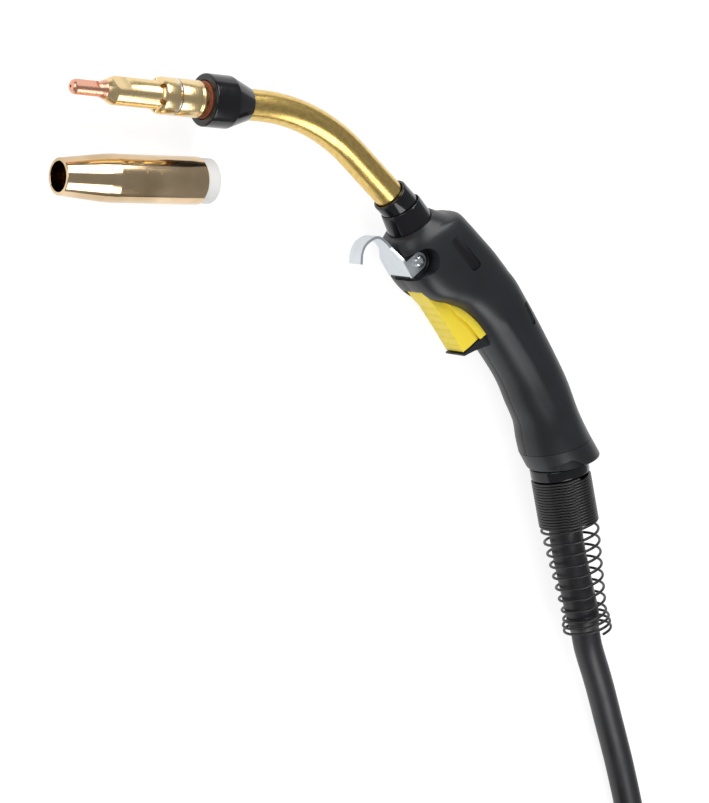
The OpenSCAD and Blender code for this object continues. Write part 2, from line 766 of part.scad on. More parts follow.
module neck_boot() {
    r = boot_d / 2;
    rim = sleeve_d / 2 + 0.75;
    color("#26262a") along_handle([0, 0], 0) turned_part([
        [rim, -1], [rim + 0.4, -0.7], [rim + 0.7, 0.3], [r, nose_u], [r, block_from],
        [neck_r + sleeve_slack, block_from], [neck_r + sleeve_slack, 3.6], [rim, 3.6]
    ]);
}

// ---------------------------------------------------------------- handle

// Everything that stands inside a shell
module shell_inside() {
    for (s = shell_screw_at) translate([s[0], s[1], 0]) cylinder(r = boss_r, h = head_thick);
    handle_block([rib_at, -handle_belly - 2, 0], [rib_at + rib_t, handle_back + 2, head_thick]);
    for (u = cradle_at) handle_block([u, -8, 0], [u + rib_t, handle_back + 2, head_thick]);
    translate([pin_at[0], pin_at[1], lever_half + 1.4]) cylinder(r = pin_r + 2, h = head_thick);
    pocket_walls();
    translate([hook_pivot[0], hook_pivot[1], 3]) cylinder(r = boss_r, h = ear_in);
}

module pocket_walls() {
    r = pocket_d / 2 + pocket_floor_t;
    z = ear_in - slack - pocket_floor_t + 1;
    translate([hook_pivot[0], hook_pivot[1], z]) cylinder(r = r, h = head_thick);
    handle_block([hook_pivot[0] - r, -handle_belly - 2, z], [hook_pivot[0] + r, hook_pivot[1], head_thick]);
}

module pocket_cut() {
    r = pocket_d / 2;
    z = ear_in - slack;
    translate([hook_pivot[0], hook_pivot[1], z]) cylinder(r = r, h = head_thick);
    handle_block([hook_pivot[0] - r, -handle_belly - 9, z], [hook_pivot[0] + r, hook_pivot[1], head_thick]);
    handle_block([0, -handle_belly - 9, -1],
        [hook_pivot[0] + r, hook_plate_v + hook_t / 2 + slack, hook_span / 2 + slack]);
}

module window_cut() {
    step_z = housing_in + housing_t + gap;
    top = housing_floor + floor_t + 1.1;
    translate([0, 0, -1]) linear_extrude(lever_half + 0.4 + 1) polygon([
        [window_from, -25], [window_from, -12], [47, -8.5], [window_step + 1, -6], [window_step + 1, -25]
    ]);
    handle_block([window_step, -25, -1], [window_to, top, step_z]);
}

// Guard that stands out of the belly behind the lever
module guard() {
    linear_extrude(lever_half + 0.3) polygon([
        [window_to, -16.8], [window_to + 1.4, -16.8], [window_to + 3.2, -8], [window_to + 6.7, 1.5],
        [window_to + 9.2, 6], [window_to, 6]
    ]);
}

module half_handle() {
    difference() {
        union() {
            skin(half_sections(handle_rows));
            guard();
        }
        difference() {
            skin(full_sections(inner_rows));
            translate([0, 0, -1]) shell_inside();
        }
        rotate([0, 90, 0]) {
            translate([0, 0, block_from - 5]) cylinder(r = nose_hole_r, h = 5 + eps);
            translate([0, 0, block_from]) cylinder(r = block_r + fit, h = block_len + 6);
        }
        passage();
        pocket_cut();
        window_cut();
        translate([pin_at[0], pin_at[1], -1]) cylinder(r = pin_r + fit, h = pin_half + slack + 1);
        translate([hook_pivot[0], hook_pivot[1], 3]) cylinder(r = hook_screw_r + fit, h = head_thick);
        translate([0, 0, label_z]) linear_extrude(head_thick) polygon(label_points);
        translate([0, 0, grip_thick / 2 - 2]) slot(back_slot[0], back_slot[1], 3.4, head_thick);
    }
}

// Room for the cable through the ribs
module passage() {
    for (u = cradle_at) translate([u - 1, cable_v(u), 0]) rotate([0, 90, 0])
        cylinder(r = cable_r + gap, h = rib_t + 2);
}

function cable_v(u) = lookup(u, [for (p = core_points) [p[0], p[1]]]);

module handle_left_shell() {
    color("#26282c") in_handle() translate([0, 0, eps]) difference() {
        half_handle();
        for (s = shell_screw_at) translate([s[0], s[1], -1]) cylinder(r = shell_screw_r + fit, h = thread_in + 2);
    }
}

module handle_right_shell() {
    color("#26282c") in_handle() translate([0, 0, -eps]) mirror([0, 0, 1]) difference() {
        half_handle();
        for (s = shell_screw_at) {
            translate([s[0], s[1], -1]) cylinder(r = shell_screw_r + fit, h = head_thick);
            translate([s[0], s[1], s[2]]) cylinder(r = shell_head_r + slack, h = head_thick);
        }
    }
}

module handle_screws() {
    color("#9a9da2") in_handle() for (s = shell_screw_at) translate([s[0], s[1], -s[2] - eps])
        rotate([180, 0, 0]) screw(shell_head_r, shell_head_h, shell_screw_r, s[2] + thread_in);
}

module label_plates() {
    color("#303236") in_handle() for (m = [0, 1]) mirror([0, 0, m]) translate([0, 0, label_z + eps])
        linear_extrude(0.5) offset_points(label_points);
}

// The label outline drawn in by the clearance
module offset_points(points) {
    c = (points[0] + points[1] + points[2] + points[3]) / 4;
    polygon([for (p = points) p + slack * unit(c - p) * 1.5]);
}

module handle_end_ring() {
    color("#2b2d31") difference() {
        union() {
            in_handle() skin([for (row = ring_rows) both_halves(half_section(row))]);
            along_handle(rear_at - [0, ring_drop], -seam_turn) translate([0, 0, -2])
                cylinder(r = inner_ring_r - 6 * gap, h = 4);
        }
        difference() {
            in_handle() translate([rear_at[0], rear_at[1], -ring_d]) rotate([0, 0, -rear_angle])
                linear_extrude(2 * ring_d) polygon(notch_points);
            along_rear() translate([0, 0, -ring_d]) cylinder(r = notch_r, h = 3 * ring_d);
        }
        along_rear() translate([0, 0, -20]) cylinder(r = nut_neck_r + slack, h = 20 + ring_len + 1);
    }
}

// ---------------------------------------------------------------- inside the handle

module neck_block() {
    color("#b5924f") along_handle([0, 0], 0) difference() {
        translate([0, 0, block_from]) cylinder(r = block_r, h = block_len);
        translate([0, 0, block_from - 1]) cylinder(r = conductor_r + fit, h = block_len / 2 + 1.5);
        translate([0, 0, block_from]) cylinder(r = conductor_bore / 2, h = block_len + 1);
    }
}

module conductor_hose() {
    color("#3a3a3c") in_handle() swept_tube(hose_points, hose_d / 2, cable_sides);
}

module cable_nut() {
    color("#b5924f") along_handle([84, 17.45], 7.2) difference() {
        cylinder(r = hose_d / 2 + 2.7, h = 9);
        translate([0, 0, -1]) cylinder(r = hose_d / 2 + gap, h = 12);
    }
}

// ---------------------------------------------------------------- hook

function hook_side(path, s) =
    [for (i = [0 : len(path) - 1])
        let (t = tangent_at(path, i))
        path[i] + s * hook_t / 2 * [-t[1], t[0]]];

module hook() {
    path = smooth_path([for (p = hook_points) [p[0], p[1] + hook_plate_v]], 4);
    half = hook_span / 2;
    arch = hook_w / 2;
    under = hook_plate_v - hook_t / 2;
    color("#b9b7ae") in_handle() difference() {
        union() {
            intersection() {
                translate([0, 0, -half]) linear_extrude(hook_span)
                    polygon([each hook_side(path, 1), each reverse(hook_side(path, -1))]);
                rotate([90, 0, 0]) translate([0, 0, -head_thick]) linear_extrude(3 * head_thick)
                    polygon([
                        [-8, -arch], [12, -arch], [20, -half], [31, -half],
                        [31, half], [20, half], [12, arch], [-8, arch]
                    ]);
            }
            for (s = [0, 1]) mirror([0, 0, s]) {
                translate([hook_pivot[0], hook_pivot[1], ear_in]) cylinder(r = ear_r, h = hook_t);
                handle_block([hook_pivot[0] - ear_r, under, ear_in],
                    [hook_pivot[0] + ear_r, hook_pivot[1], half]);
            }
            handle_block([hook_pivot[0] - ear_r, under, -half], [hook_pivot[0] + ear_r, under + hook_t, half]);
        }
        translate([hook_pivot[0], hook_pivot[1], -hook_span]) cylinder(r = hook_screw_r + fit, h = 2 * hook_span);
    }
}

function reverse(list) = [for (i = [len(list) - 1 : -1 : 0]) list[i]];

module hook_screws() {
    color("#c4c6c9") in_handle() for (s = [0, 1]) mirror([0, 0, s])
        translate([hook_pivot[0], hook_pivot[1], hook_span / 2]) screw(hook_head_r, 1.7, hook_screw_r, 7);
}

// ---------------------------------------------------------------- trigger

module trigger_lever() {
    color("#d9a321") in_handle() difference() {
        union() {
            difference() {
                translate([0, 0, -lever_half]) linear_extrude(trigger_w) polygon(lever_points);
                translate([0, 0, -lever_half + cheek_t]) linear_extrude(trigger_w - 2 * cheek_t)
                    polygon(lever_hollow);
            }
            translate([button_u, -13, 0]) rotate([-90, 0, 0])
                cylinder(r = post_r, h = 13 + switch_bottom - button_out - gap);
        }
        translate([pin_at[0], pin_at[1], -trigger_w]) cylinder(r = pin_r + fit, h = 2 * trigger_w);
    }
}

module trigger_housing() {
    floor_half = housing_in + housing_t;
    color("#e3ae2b") in_handle() difference() {
        union() {
            for (s = [0, 1]) mirror([0, 0, s]) {
                translate([0, 0, housing_in]) linear_extrude(housing_t) polygon(housing_points);
                handle_block([switch_u[0], clamp_bottom, switch_half + fit],
                    [switch_u[1], housing_floor + eps, switch_half + fit + clamp_t]);
            }
            handle_block([shield_u[0], housing_floor, -floor_half],
                [shield_u[1], housing_floor + floor_t, floor_half]);
        }
        for (u = switch_screw_u) translate([u, switch_screw_v, -floor_half - 1])
            cylinder(r = 1 + fit, h = 2 * floor_half + 2);
        for (u = terminal_u) handle_block([u - 1.2, 0, -1.6], [u + 1.2, 6, 1.6]);
    }
}

module trigger_pin() {
    color("#a7aaae") in_handle() translate([pin_at[0], pin_at[1], -pin_half])
        cylinder(r = pin_r, h = 2 * pin_half);
}

module trigger_switch() {
    color("#2a2a2e") in_handle() difference() {
        union() {
            handle_block([switch_u[0], switch_bottom, -switch_half], [switch_u[1], housing_floor, switch_half]);
            for (u = terminal_u) handle_block([u - 1, housing_floor - eps, -1.3], [u + 1, housing_floor + floor_t, 1.3]);
        }
        translate([button_u, switch_bottom - 1, 0]) rotate([-90, 0, 0])
            cylinder(r = button_r + fit, h = 1 + button_in + 2.6);
        for (u = switch_screw_u) translate([u, switch_screw_v, -10]) cylinder(r = 1 + fit, h = 20);
    }
}

module switch_button() {
    color("#b0463a") in_handle() translate([button_u, switch_bottom - button_out, 0]) rotate([-90, 0, 0])
        cylinder(r = button_r, h = button_out + button_in);
}

module switch_screws() {
    color("#a7aaae") in_handle() for (u = switch_screw_u)
        translate([u, switch_screw_v, switch_half + clamp_t + fit]) screw(1.6, 0.8, 1, 2 * (switch_half + clamp_t));
}

module trigger_leads() {
    color("#a33a32") in_handle() {
        swept_lead(terminal_u[1], lead_spread);
        swept_lead(terminal_u[0], -lead_spread);
    }
}

// A thin lead that rises from a terminal and runs to the cable
module swept_lead(from_u, spread) {
    top = housing_floor + floor_t + eps;
    path = [for (i = [0 : len(trigger_lead_points) - 1])
        let (p = trigger_lead_points[i])
        [from_u + p[0] * (lead_to - from_u), top + p[1], spread * min(max(i - 1, 0), 3)]];
    skin([for (i = [0 : len(path) - 1]) tube_ring(path[i], tangent_at(path, i), [0, 0, 1], lead_r, 8)]);
}

// ---------------------------------------------------------------- cable support

module support_nut() {
    collar = spring_d / 2 - gap;
    bore = cable_r + gap;
    to = ring_len + nut_collar_len;
    color("#1f2023") along_rear() turned_part([
        [bore, 1], [nut_neck_r, 1], [nut_neck_r, ring_len + fit], [collar - 0.6, ring_len + fit],
        [collar, ring_len + 0.7], [collar, to - 0.7], [collar - 0.6, to], [support_r, to],
        [support_r, nut_to - 1], [support_r - 1, nut_to], [bore, nut_to]
    ]);
}

module cable_support_spring() {
    color("#17181a") along_rear() skin([for (i = [0 : len(spring_path) - 1])
        tube_ring(spring_path[i], tangent_at(spring_path, i), [0, 0, 1], wire_r, wire_sides)]);
}

// The cable where the handle and the spring hold it
module cable_core() {
    stations = [0, 14, 28, for (s = [nut_to : 12 : spring_to - 9]) s, spring_to - 3, spring_to];
    color("#141415") in_handle() swept_tube([each core_points, for (s = stations) core_point(s)],
        cable_r, cable_sides);
}

// ---------------------------------------------------------------- cable

// Lays a route of the plane with heights above the floor
module on_floor() {
    translate([shift[0], shift[1], 0]) children();
}

module cable_lead() {
    out = turned([1, 0], rear_turn);
    z = mid_z - core_drop(spring_to);
    color("#141415") on_floor() swept_tube([
        [each spring_tail, z], [each spring_tail + cable_r * out, z], each lead_points
    ], cable_r, cable_sides);
}

module cable_coil() {
    color("#161617") on_floor() swept_tube(coil_path, cable_r, coil_sides);
}

module cable_tail() {
    color("#141415") on_floor() swept_tube(tail_points, cable_r, cable_sides);
}

// ---------------------------------------------------------------- connector

module plug_boot() {
    color("#1b1b1d") at_plug() turned_part([
        [barb_r + slack, 0], [cable_r + 2, 0], [cable_r + 2.6, 0.6], [core_r - 0.8, housing_from - 1],
        [core_r - 0.5, housing_from + 2.2], [core_r + 1, housing_from + 2.2], [core_r + 1, housing_from + 5],
        [core_r - 0.5, housing_from + 5], [core_r - 0.5, boot_len], [barb_r + slack, boot_len]
    ]);
}

// Half of the moulded housing, on the side that y points to
module plug_half() {
    r = plug_d / 2;
    difference() {
        turned_part([
            [core_r - 0.4, housing_from], [r - 2, housing_from], [r, housing_from + 4], [r, housing_to - 1],
            [r - 1, housing_to], [core_r + slack, housing_to], [core_r + slack, boot_len],
            [core_r - 0.4, boot_len], [core_r - 0.4, housing_from + 5.1], [core_r + 1.1, housing_from + 5.1],
            [core_r + 1.1, housing_from + 2.1], [core_r - 0.4, housing_from + 2.1]
        ]);
        translate([-plug_d, -plug_d - 1, housing_from - 1]) cube([2 * plug_d, plug_d + 1 + eps, plug_len + 2]);
        for (i = [0 : grooves - 1]) rotate([0, 0, (i + 0.5) * 360 / grooves])
            translate([r + 1.4, 0, housing_from + 10]) cylinder(r = 2.4, h = plug_len - 20);
    }
}

module plug_left_shell() {
    x = plug_screw_at[0];
    color("#26282c") at_plug() difference() {
        plug_half();
        for (s = [-1, 1]) translate([s * x, -1, plug_screw_at[1]]) rotate([-90, 0, 0]) cylinder(r = 1 + fit, h = 5);
    }
}

module plug_right_shell() {
    x = plug_screw_at[0];
    color("#26282c") at_plug() mirror([0, 1, 0]) difference() {
        plug_half();
        for (s = [-1, 1]) translate([s * x, 0, plug_screw_at[1]]) rotate([-90, 0, 0]) {
            translate([0, 0, -1]) cylinder(r = 1 + fit, h = plug_d);
            translate([0, 0, 4]) cylinder(r = 1.8 + slack, h = plug_d);
        }
    }
}

module plug_screws() {
    x = plug_screw_at[0];
    color("#a7aaae") at_plug() for (s = [-1, 1]) translate([s * x, -4, plug_screw_at[1]]) rotate([90, 0, 0])
        screw(1.8, 1.2, 1, 7);
}

module plug_core() {
    flange_at = nut_from + nut_lip + gap;
    color("#c2a052") at_plug() difference() {
        turned_part([
            [guide_r + slack, 3], [barb_r, 3], [barb_r, core_from], [core_r, core_from],
            [core_r, flange_at], [core_flange_r, flange_at], [core_flange_r, flange_at + 2.4],
            [core_r, flange_at + 2.4], [core_r, core_to], [spigot_r - 1 + slack, core_to],
            [spigot_r - 1 + slack, core_to - 15], [guide_r + slack, core_to - 15]
        ]);
        for (s = [-1, 1]) translate([0, s * pin_spread, core_to - pins_in - pin_travel - 2])
            cylinder(r = socket_r + fit, h = pins_in + pin_travel + 3);
    }
}

module current_pin() {
    r = spigot_r;
    o = core_to;
    groove = o + ring_groove_at;
    color("#d0b163") at_plug() turned_part([
        [guide_r + slack, o - 15], [r - 1, o - 15], [r - 1, o], [r, o], [r, groove], [r - ring_groove, groove],
        [r - ring_groove, groove + ring_groove_w], [r, groove + ring_groove_w], [r, o + spigot_len - 1],
        [r - 1, o + spigot_len], [guide_r + slack, o + spigot_len]
    ]);
}

module plug_o_ring() {
    color("#101011") at_plug() translate([0, 0, core_to + ring_groove_at + ring_groove_w / 2]) rotate_extrude()
        translate([spigot_r - ring_groove + ring_cord_r + fit, 0]) circle(ring_cord_r);
}

module control_pins() {
    color("#c9a94f") at_plug() for (s = [-1, 1]) translate([0, s * pin_spread, core_to]) turned_part([
        [0, -pins_in], [pin_r2 - pin_relief, -pins_in], [pin_r2 - pin_relief, pin_neck], [pin_r2, pin_neck],
        [pin_r2, pins_out - 0.8], [pin_r2 - 0.8, pins_out], [0, pins_out]
    ]);
}

module pin_sockets() {
    depth = pins_in + pin_travel + 1;
    color("#e8e6df") at_plug() for (s = [-1, 1]) translate([0, s * pin_spread, core_to]) difference() {
        translate([0, 0, -depth - 1]) cylinder(r = socket_r, h = depth + 1.8);
        translate([0, 0, -depth]) cylinder(r = pin_r2 + fit, h = depth + 2);
    }
}

module adaptor_nut() {
    r = nut_d / 2;
    to = nut_from + nut_len;
    color("#2c2e33") at_plug() difference() {
        turned_part([
            [core_r + gap, nut_from], [r - 1.5, nut_from], [r, nut_from + 1.5], [r, to - 1.5], [r - 1.5, to],
            [r - 3.6, to], [r - 3.6, nut_from + nut_lip], [core_r + gap, nut_from + nut_lip]
        ]);
        for (i = [0 : ribs - 1]) rotate([0, 0, (i + 0.5) * 360 / ribs])
            translate([r + 0.7, 0, nut_from + 4]) cylinder(r = 1.7, h = nut_len);
    }
}

module wire_guide() {
    color("#9c9ea2") at_plug() tube(guide_r, 1.1, core_to - 5, core_to + spigot_len + guide_out);
}

// ---------------------------------------------------------------- nozzle

module nozzle_shell() {
    mouth = nozzle_bore / 2;
    edge = mouth + nozzle_wall;
    color("#b08d4f") at_nozzle() difference() {
        turned_part([
            [mouth, 0], [edge - 0.4, 0], [edge, 0.4], [nozzle_r, nozzle_taper],
            [nozzle_r, nozzle_len - 0.5], [nozzle_r - 0.5, nozzle_len], [nozzle_body_bore, nozzle_len],
            [nozzle_body_bore, nozzle_taper + 6], [mouth, nozzle_taper - 8]
        ]);
        for (c = crimps_at, i = [0 : 2]) rotate([0, 0, 120 * i + 215 + c * 3]) translate([nozzle_r + 1.1, 0, nozzle_len - c])
            sphere(r = 1.6);
    }
}

module nozzle_insulator() {
    sleeve = nozzle_body_bore - fit;
    lip = nozzle_r - 0.7;
    from = nozzle_taper + 10;
    to = nozzle_len + nozzle_ring;
    color("#efece4") at_nozzle() turned_part([
        [nozzle_seat_d / 2, from], [sleeve, from], [sleeve, nozzle_len],
        [lip, nozzle_len], [lip, to - 0.5], [lip - 0.5, to], [nozzle_seat_d / 2, to]
    ]);
}

// ---------------------------------------------------------------- the torch

contact_tip();
gas_diffuser();
nozzle_retaining_ring();
insulating_washer();
neck_insulator();
gooseneck_jacket();
gooseneck_conductor();
gooseneck_insulation();
wire_liner();
neck_sleeve();
neck_boot();
handle_left_shell();
handle_right_shell();
handle_screws();
label_plates();
handle_end_ring();
neck_block();
conductor_hose();
cable_nut();
hook();
hook_screws();
trigger_lever();
trigger_housing();
trigger_pin();
trigger_switch();
switch_button();
switch_screws();
trigger_leads();
support_nut();
cable_support_spring();
cable_core();
cable_lead();
cable_coil();
cable_tail();
plug_boot();
plug_left_shell();
plug_right_shell();
plug_screws();
plug_core();
current_pin();
plug_o_ring();
control_pins();
pin_sockets();
adaptor_nut();
wire_guide();
nozzle_shell();
nozzle_insulator();
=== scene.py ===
"""MIG welding torch: the looks of its pieces, laid out as a Blender add-on that is run as a script."""
import json
import math

import bmesh
import bpy
from bpy.props import FloatProperty, FloatVectorProperty, IntProperty, PointerProperty
from mathutils import Matrix, Vector

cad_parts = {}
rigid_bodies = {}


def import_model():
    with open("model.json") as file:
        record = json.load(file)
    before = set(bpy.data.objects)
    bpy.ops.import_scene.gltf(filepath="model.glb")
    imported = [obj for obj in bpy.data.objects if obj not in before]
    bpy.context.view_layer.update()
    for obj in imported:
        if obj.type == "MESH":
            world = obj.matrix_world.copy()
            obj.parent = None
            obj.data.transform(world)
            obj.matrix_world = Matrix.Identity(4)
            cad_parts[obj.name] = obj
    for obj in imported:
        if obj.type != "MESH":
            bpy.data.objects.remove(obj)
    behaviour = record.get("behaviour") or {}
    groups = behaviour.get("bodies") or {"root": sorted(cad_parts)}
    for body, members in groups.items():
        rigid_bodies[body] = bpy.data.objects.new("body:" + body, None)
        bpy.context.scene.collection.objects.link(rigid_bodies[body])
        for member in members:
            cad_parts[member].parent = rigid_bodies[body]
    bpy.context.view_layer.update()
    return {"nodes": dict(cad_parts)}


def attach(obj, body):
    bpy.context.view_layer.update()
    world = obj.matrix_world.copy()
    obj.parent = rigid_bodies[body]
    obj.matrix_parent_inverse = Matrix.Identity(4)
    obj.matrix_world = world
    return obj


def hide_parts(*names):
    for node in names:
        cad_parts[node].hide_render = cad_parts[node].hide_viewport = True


bl_info = {
    "name": "MIG Welding Torch",
    "version": (1, 0, 0),
    "blender": (4, 5, 0),
    "location": "3D View > Sidebar > Torch",
    "description": "Builds the visible pieces of a welding torch around its construction",
    "category": "Object",
}

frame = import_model()

# ---- places, in millimetres

MM = 0.001
EPS = 0.02
SHIFT = (-44.435, 137.277)
MID_Z = 21.5
NECK_ANGLE, HANDLE_ANGLE = 36.5, 13.5
NECK_BEND_R, HANDLE_BEND_R = 104.0, 45.0
NECK_LEN = 39.6
BEND_TANGENT = NECK_BEND_R * math.tan(math.radians(NECK_ANGLE / 2))
HANDLE_TANGENT = HANDLE_BEND_R * math.tan(math.radians(HANDLE_ANGLE / 2))
HANDLE_TURN = -(NECK_ANGLE + HANDLE_ANGLE)
HEAD_LEN = 70.8
HANDLE_LEN = 178.0
REAR_AT = (HANDLE_LEN, 14.2)
REAR_ANGLE = 21.0
SEAM_TURN = 19.0
RING_R = 21.1
RING_DROP = 0.6
RING_LEN = 12.4
NUT_TO = 33.1
NOZZLE_AT = (-148.7, -45.7)
NOZZLE_TURN = 2.5
NOZZLE_R = 12.7
PLUG_AT = (66.0, -657.0)
PLUG_Z = 21.0


def cos(degrees):
    return math.cos(math.radians(degrees))


def sin(degrees):
    return math.sin(math.radians(degrees))


def turned(p, degrees):
    """A point of the plane turned about 0, 0."""
    return (p[0] * cos(degrees) - p[1] * sin(degrees), p[0] * sin(degrees) + p[1] * cos(degrees))


def add(p, q):
    return tuple(a + b for a, b in zip(p, q))


def ramp(x, low, high):
    """From 0 to 1 between two bounds, and level outside them."""
    return min(max((x - low) / (high - low), 0), 1)


HANDLE_AT = turned((BEND_TANGENT + NECK_LEN + HANDLE_TANGENT, 0), -NECK_ANGLE)


def turn(degrees, axis="Z"):
    return Matrix.Rotation(math.radians(degrees), 4, axis)


def move(x, y, z):
    return Matrix.Translation((x, y, z))


def flat_frame(p, degrees, height=MID_Z):
    """The plane of the torch, moved to a point and turned about its upright."""
    return move(p[0] + SHIFT[0], p[1] + SHIFT[1], height) @ turn(degrees)


def axis_frame(p, degrees, height=MID_Z):
    """A frame whose z runs along a direction of the torch's plane."""
    return flat_frame(p, degrees, height) @ turn(90, "Y")


HEAD = axis_frame((-HEAD_LEN, 0), 180)
HANDLE = flat_frame(HANDLE_AT, HANDLE_TURN)
NOZZLE = axis_frame(NOZZLE_AT, NOZZLE_TURN, NOZZLE_R)
PLUG = axis_frame(PLUG_AT, 180, PLUG_Z)


def handle_axis(p, degrees):
    """A frame whose z runs along a direction of the handle's plane."""
    return HANDLE @ move(*p, 0) @ (turn(degrees) @ turn(90, "Y"))


def mirrored(side):
    """The handle's frame for side 1, and its mirror image for side -1."""
    return HANDLE @ Matrix.Diagonal((1, 1, side, 1))


REAR = handle_axis(REAR_AT, -REAR_ANGLE)

# ---- mesh tools


def curve_through(rows, steps):
    """A smooth curve through rows of numbers, with a number of steps for each row."""
    out, last = [], len(rows) - 1
    for k in range(last * steps + 1):
        i = min(k // steps, last - 1)
        f = k / steps - i
        a, b, c, d = (rows[min(max(j, 0), last)] for j in (i - 1, i, i + 1, i + 2))
        out.append(tuple(
            q + f / 2 * ((r - p) + f * (2 * p - 5 * q + 4 * r - s + f * (3 * q - p - 3 * r + s)))
            for p, q, r, s in zip(a, b, c, d)
        ))
    return out


def fillet(points, radius, steps=3, closed=True):
    """A polygon with each corner rounded by up to the radius."""
    out, n = [], len(points)
    for i, p in enumerate(points):
        if not closed and i in (0, n - 1):
            out.append(p)
            continue
        p, a, b = Vector(p), Vector(points[i - 1]), Vector(points[(i + 1) % n])
        da, db = a - p, b - p
        if min(da.length, db.length) < 1e-6 or abs(da.normalized().dot(db.normalized())) > 0.999:
            out.append(tuple(p))
            continue
        cut = min(radius, 0.45 * da.length, 0.45 * db.length)
        start, end = p + cut * da.normalized(), p + cut * db.normalized()
        for k in range(steps + 1):
            t = k / steps
            out.append(tuple((1 - t) ** 2 * start + 2 * t * (1 - t) * p + t * t * end))
    return out


def put(name, verts, faces, place, uvs=None, sharp=32.0):
    """A shaded mesh object from points in a frame, in millimetres."""
    mesh = bpy.data.meshes.new(name)
    mesh.from_pydata([place @ Vector(v) * MM for v in verts], [], faces)
    if uvs:
        layer = mesh.uv_layers.new(name="UVMap")
        for loop in mesh.loops:
            layer.data[loop.index].uv = uvs[loop.vertex_index]
    mesh.validate()
    return solid(name, mesh, sharp)


def solid(name, mesh, sharp):
    """A shaded object of the scene from a closed mesh."""
    obj = bpy.data.objects.new(name, mesh)
    bpy.context.scene.collection.objects.link(obj)
    clean(obj, sharp)
    return obj


def clean(obj, sharp):
    """Makes the faces of a closed mesh look outward, and shades it smooth up to an angle."""
    bm = bmesh.new()
    bm.from_mesh(obj.data)
    bmesh.ops.recalc_face_normals(bm, faces=bm.faces)
    bm.to_mesh(obj.data)
    bm.free()
    obj.data.polygons.foreach_set("use_smooth", [True] * len(obj.data.polygons))
    obj.data.set_sharp_from_angle(angle=math.radians(sharp))


def lathe(name, profile, place, turns=96, round_by=0.0, steps=3, sharp=32.0):
    """A turned piece from its half profile of (radius, height). A profile off the axis is a closed ring."""
    on_axis = profile[0][0] < 1e-6
    outline = fillet(profile, round_by, steps, closed=not on_axis) if round_by else list(profile)
    verts, uvs, rows, run = [], [], [], 0.0
    for j, (r, z) in enumerate(outline):
        run += math.dist(outline[j - 1], (r, z)) if j else 0
        start = len(verts)
        count = 1 if r < 1e-6 else turns
        for i in range(count):
            a = 2 * math.pi * i / turns
            verts.append((r * math.cos(a), r * math.sin(a), z))
            uvs.append((i / turns, run / 100))
        rows.append((start, count))
    faces = []
    for j in range(len(rows) - (1 if on_axis else 0)):
        (a, na), (b, nb) = rows[j], rows[(j + 1) % len(rows)]
        for i in range(turns):
            k = (i + 1) % turns
            ring = list(dict.fromkeys([a + i % na, a + k % na, b + k % nb, b + i % nb]))
            if len(ring) > 2:
                faces.append(ring)
    return put(name, verts, faces, place, uvs, sharp)


def sweep(name, path, radius, sides, place):
    """A round bar along a path. The radius is a number, or one number for each point."""
    points = [Vector(p) for p in path]
    radii = list(radius) if hasattr(radius, "__len__") else [radius] * len(points)
    verts, uvs, run, side = [], [], 0.0, None
    for i, p in enumerate(points):
        along = (points[min(i + 1, len(points) - 1)] - points[max(i - 1, 0)]).normalized()
        side = along.orthogonal() if side is None else side - side.dot(along) * along
        side.normalize()
        up = along.cross(side)
        run += (p - points[i - 1]).length if i else 0
        for k in range(sides):
            a = 2 * math.pi * k / sides
            verts.append(p + radii[i] * (math.cos(a) * side + math.sin(a) * up))
            uvs.append((k / sides, run / 100))
    faces = []
    for i in range(len(points) - 1):
        for k in range(sides):
            j = (k + 1) % sides
            faces.append([i * sides + k, i * sides + j, (i + 1) * sides + j, (i + 1) * sides + k])
    last = (len(points) - 1) * sides
    faces += [list(range(sides))[::-1], list(range(last, last + sides))]
    return put(name, verts, faces, place, uvs)


def loft(name, rings, place, sharp=40.0):
    """A solid through closed rings of equal count."""
    n, last = len(rings[0]), (len(rings) - 1) * len(rings[0])
    faces = [[i + k, i + (k + 1) % n, i + n + (k + 1) % n, i + n + k]
             for i in range(0, last, n) for k in range(n)]
    faces += [list(range(n))[::-1], list(range(last, last + n))]
    return put(name, [p for ring in rings for p in ring], faces, place, None, sharp)


def slab(name, outline, low, high, place, bevel=0.0, steps=2, sharp=32.0):
    """A plate from its outline in the xy plane, with rounded edges."""
    bm = bmesh.new()
    bottom = [bm.verts.new((p[0], p[1], low)) for p in outline]
    top = [bm.verts.new((p[0], p[1], high)) for p in outline]
    n = len(outline)
    bm.faces.new(bottom[::-1])
    bm.faces.new(top)
    for i in range(n):
        bm.faces.new((bottom[i], bottom[(i + 1) % n], top[(i + 1) % n], top[i]))
    bmesh.ops.recalc_face_normals(bm, faces=bm.faces)
    if bevel:
        edges = [e for e in bm.edges if e.calc_face_angle(0) > math.radians(28)]
        bmesh.ops.bevel(bm, geom=edges, offset=bevel, segments=steps, affect="EDGES", profile=0.5,
                        clamp_overlap=True)
    bm.transform(Matrix.Scale(MM, 4) @ place)
    mesh = bpy.data.meshes.new(name)
    bm.to_mesh(mesh)
    bm.free()
    return solid(name, mesh, sharp)


def block(corner, size, place):
    """A plain cutting block between two corners of a frame."""
    x, y, z = corner
    w, d, h = size
    return slab("cutter", [(x, y), (x + w, y), (x + w, y + d), (x, y + d)], z, z + h, place)


def bar(radius, low, high, place, turns=48):
    """A plain cutting bar along the z axis of a frame."""
    return lathe("cutter", [(0, low), (radius, low), (radius, high), (0, high)], place, turns)


def merge(obj, others, operation="DIFFERENCE", sharp=32.0):
    """Cuts other solids from a piece, or joins them to it, and removes them."""
    for other in others:
        step = obj.modifiers.new("step", "BOOLEAN")
        step.operation, step.solver, step.object = operation, "MANIFOLD", other
        bpy.context.view_layer.update()
        made = bpy.data.meshes.new_from_object(obj.evaluated_get(bpy.context.evaluated_depsgraph_get()))
        obj.modifiers.clear()
        obj.data = made
        bpy.data.objects.remove(other)
    clean(obj, sharp)
    return obj


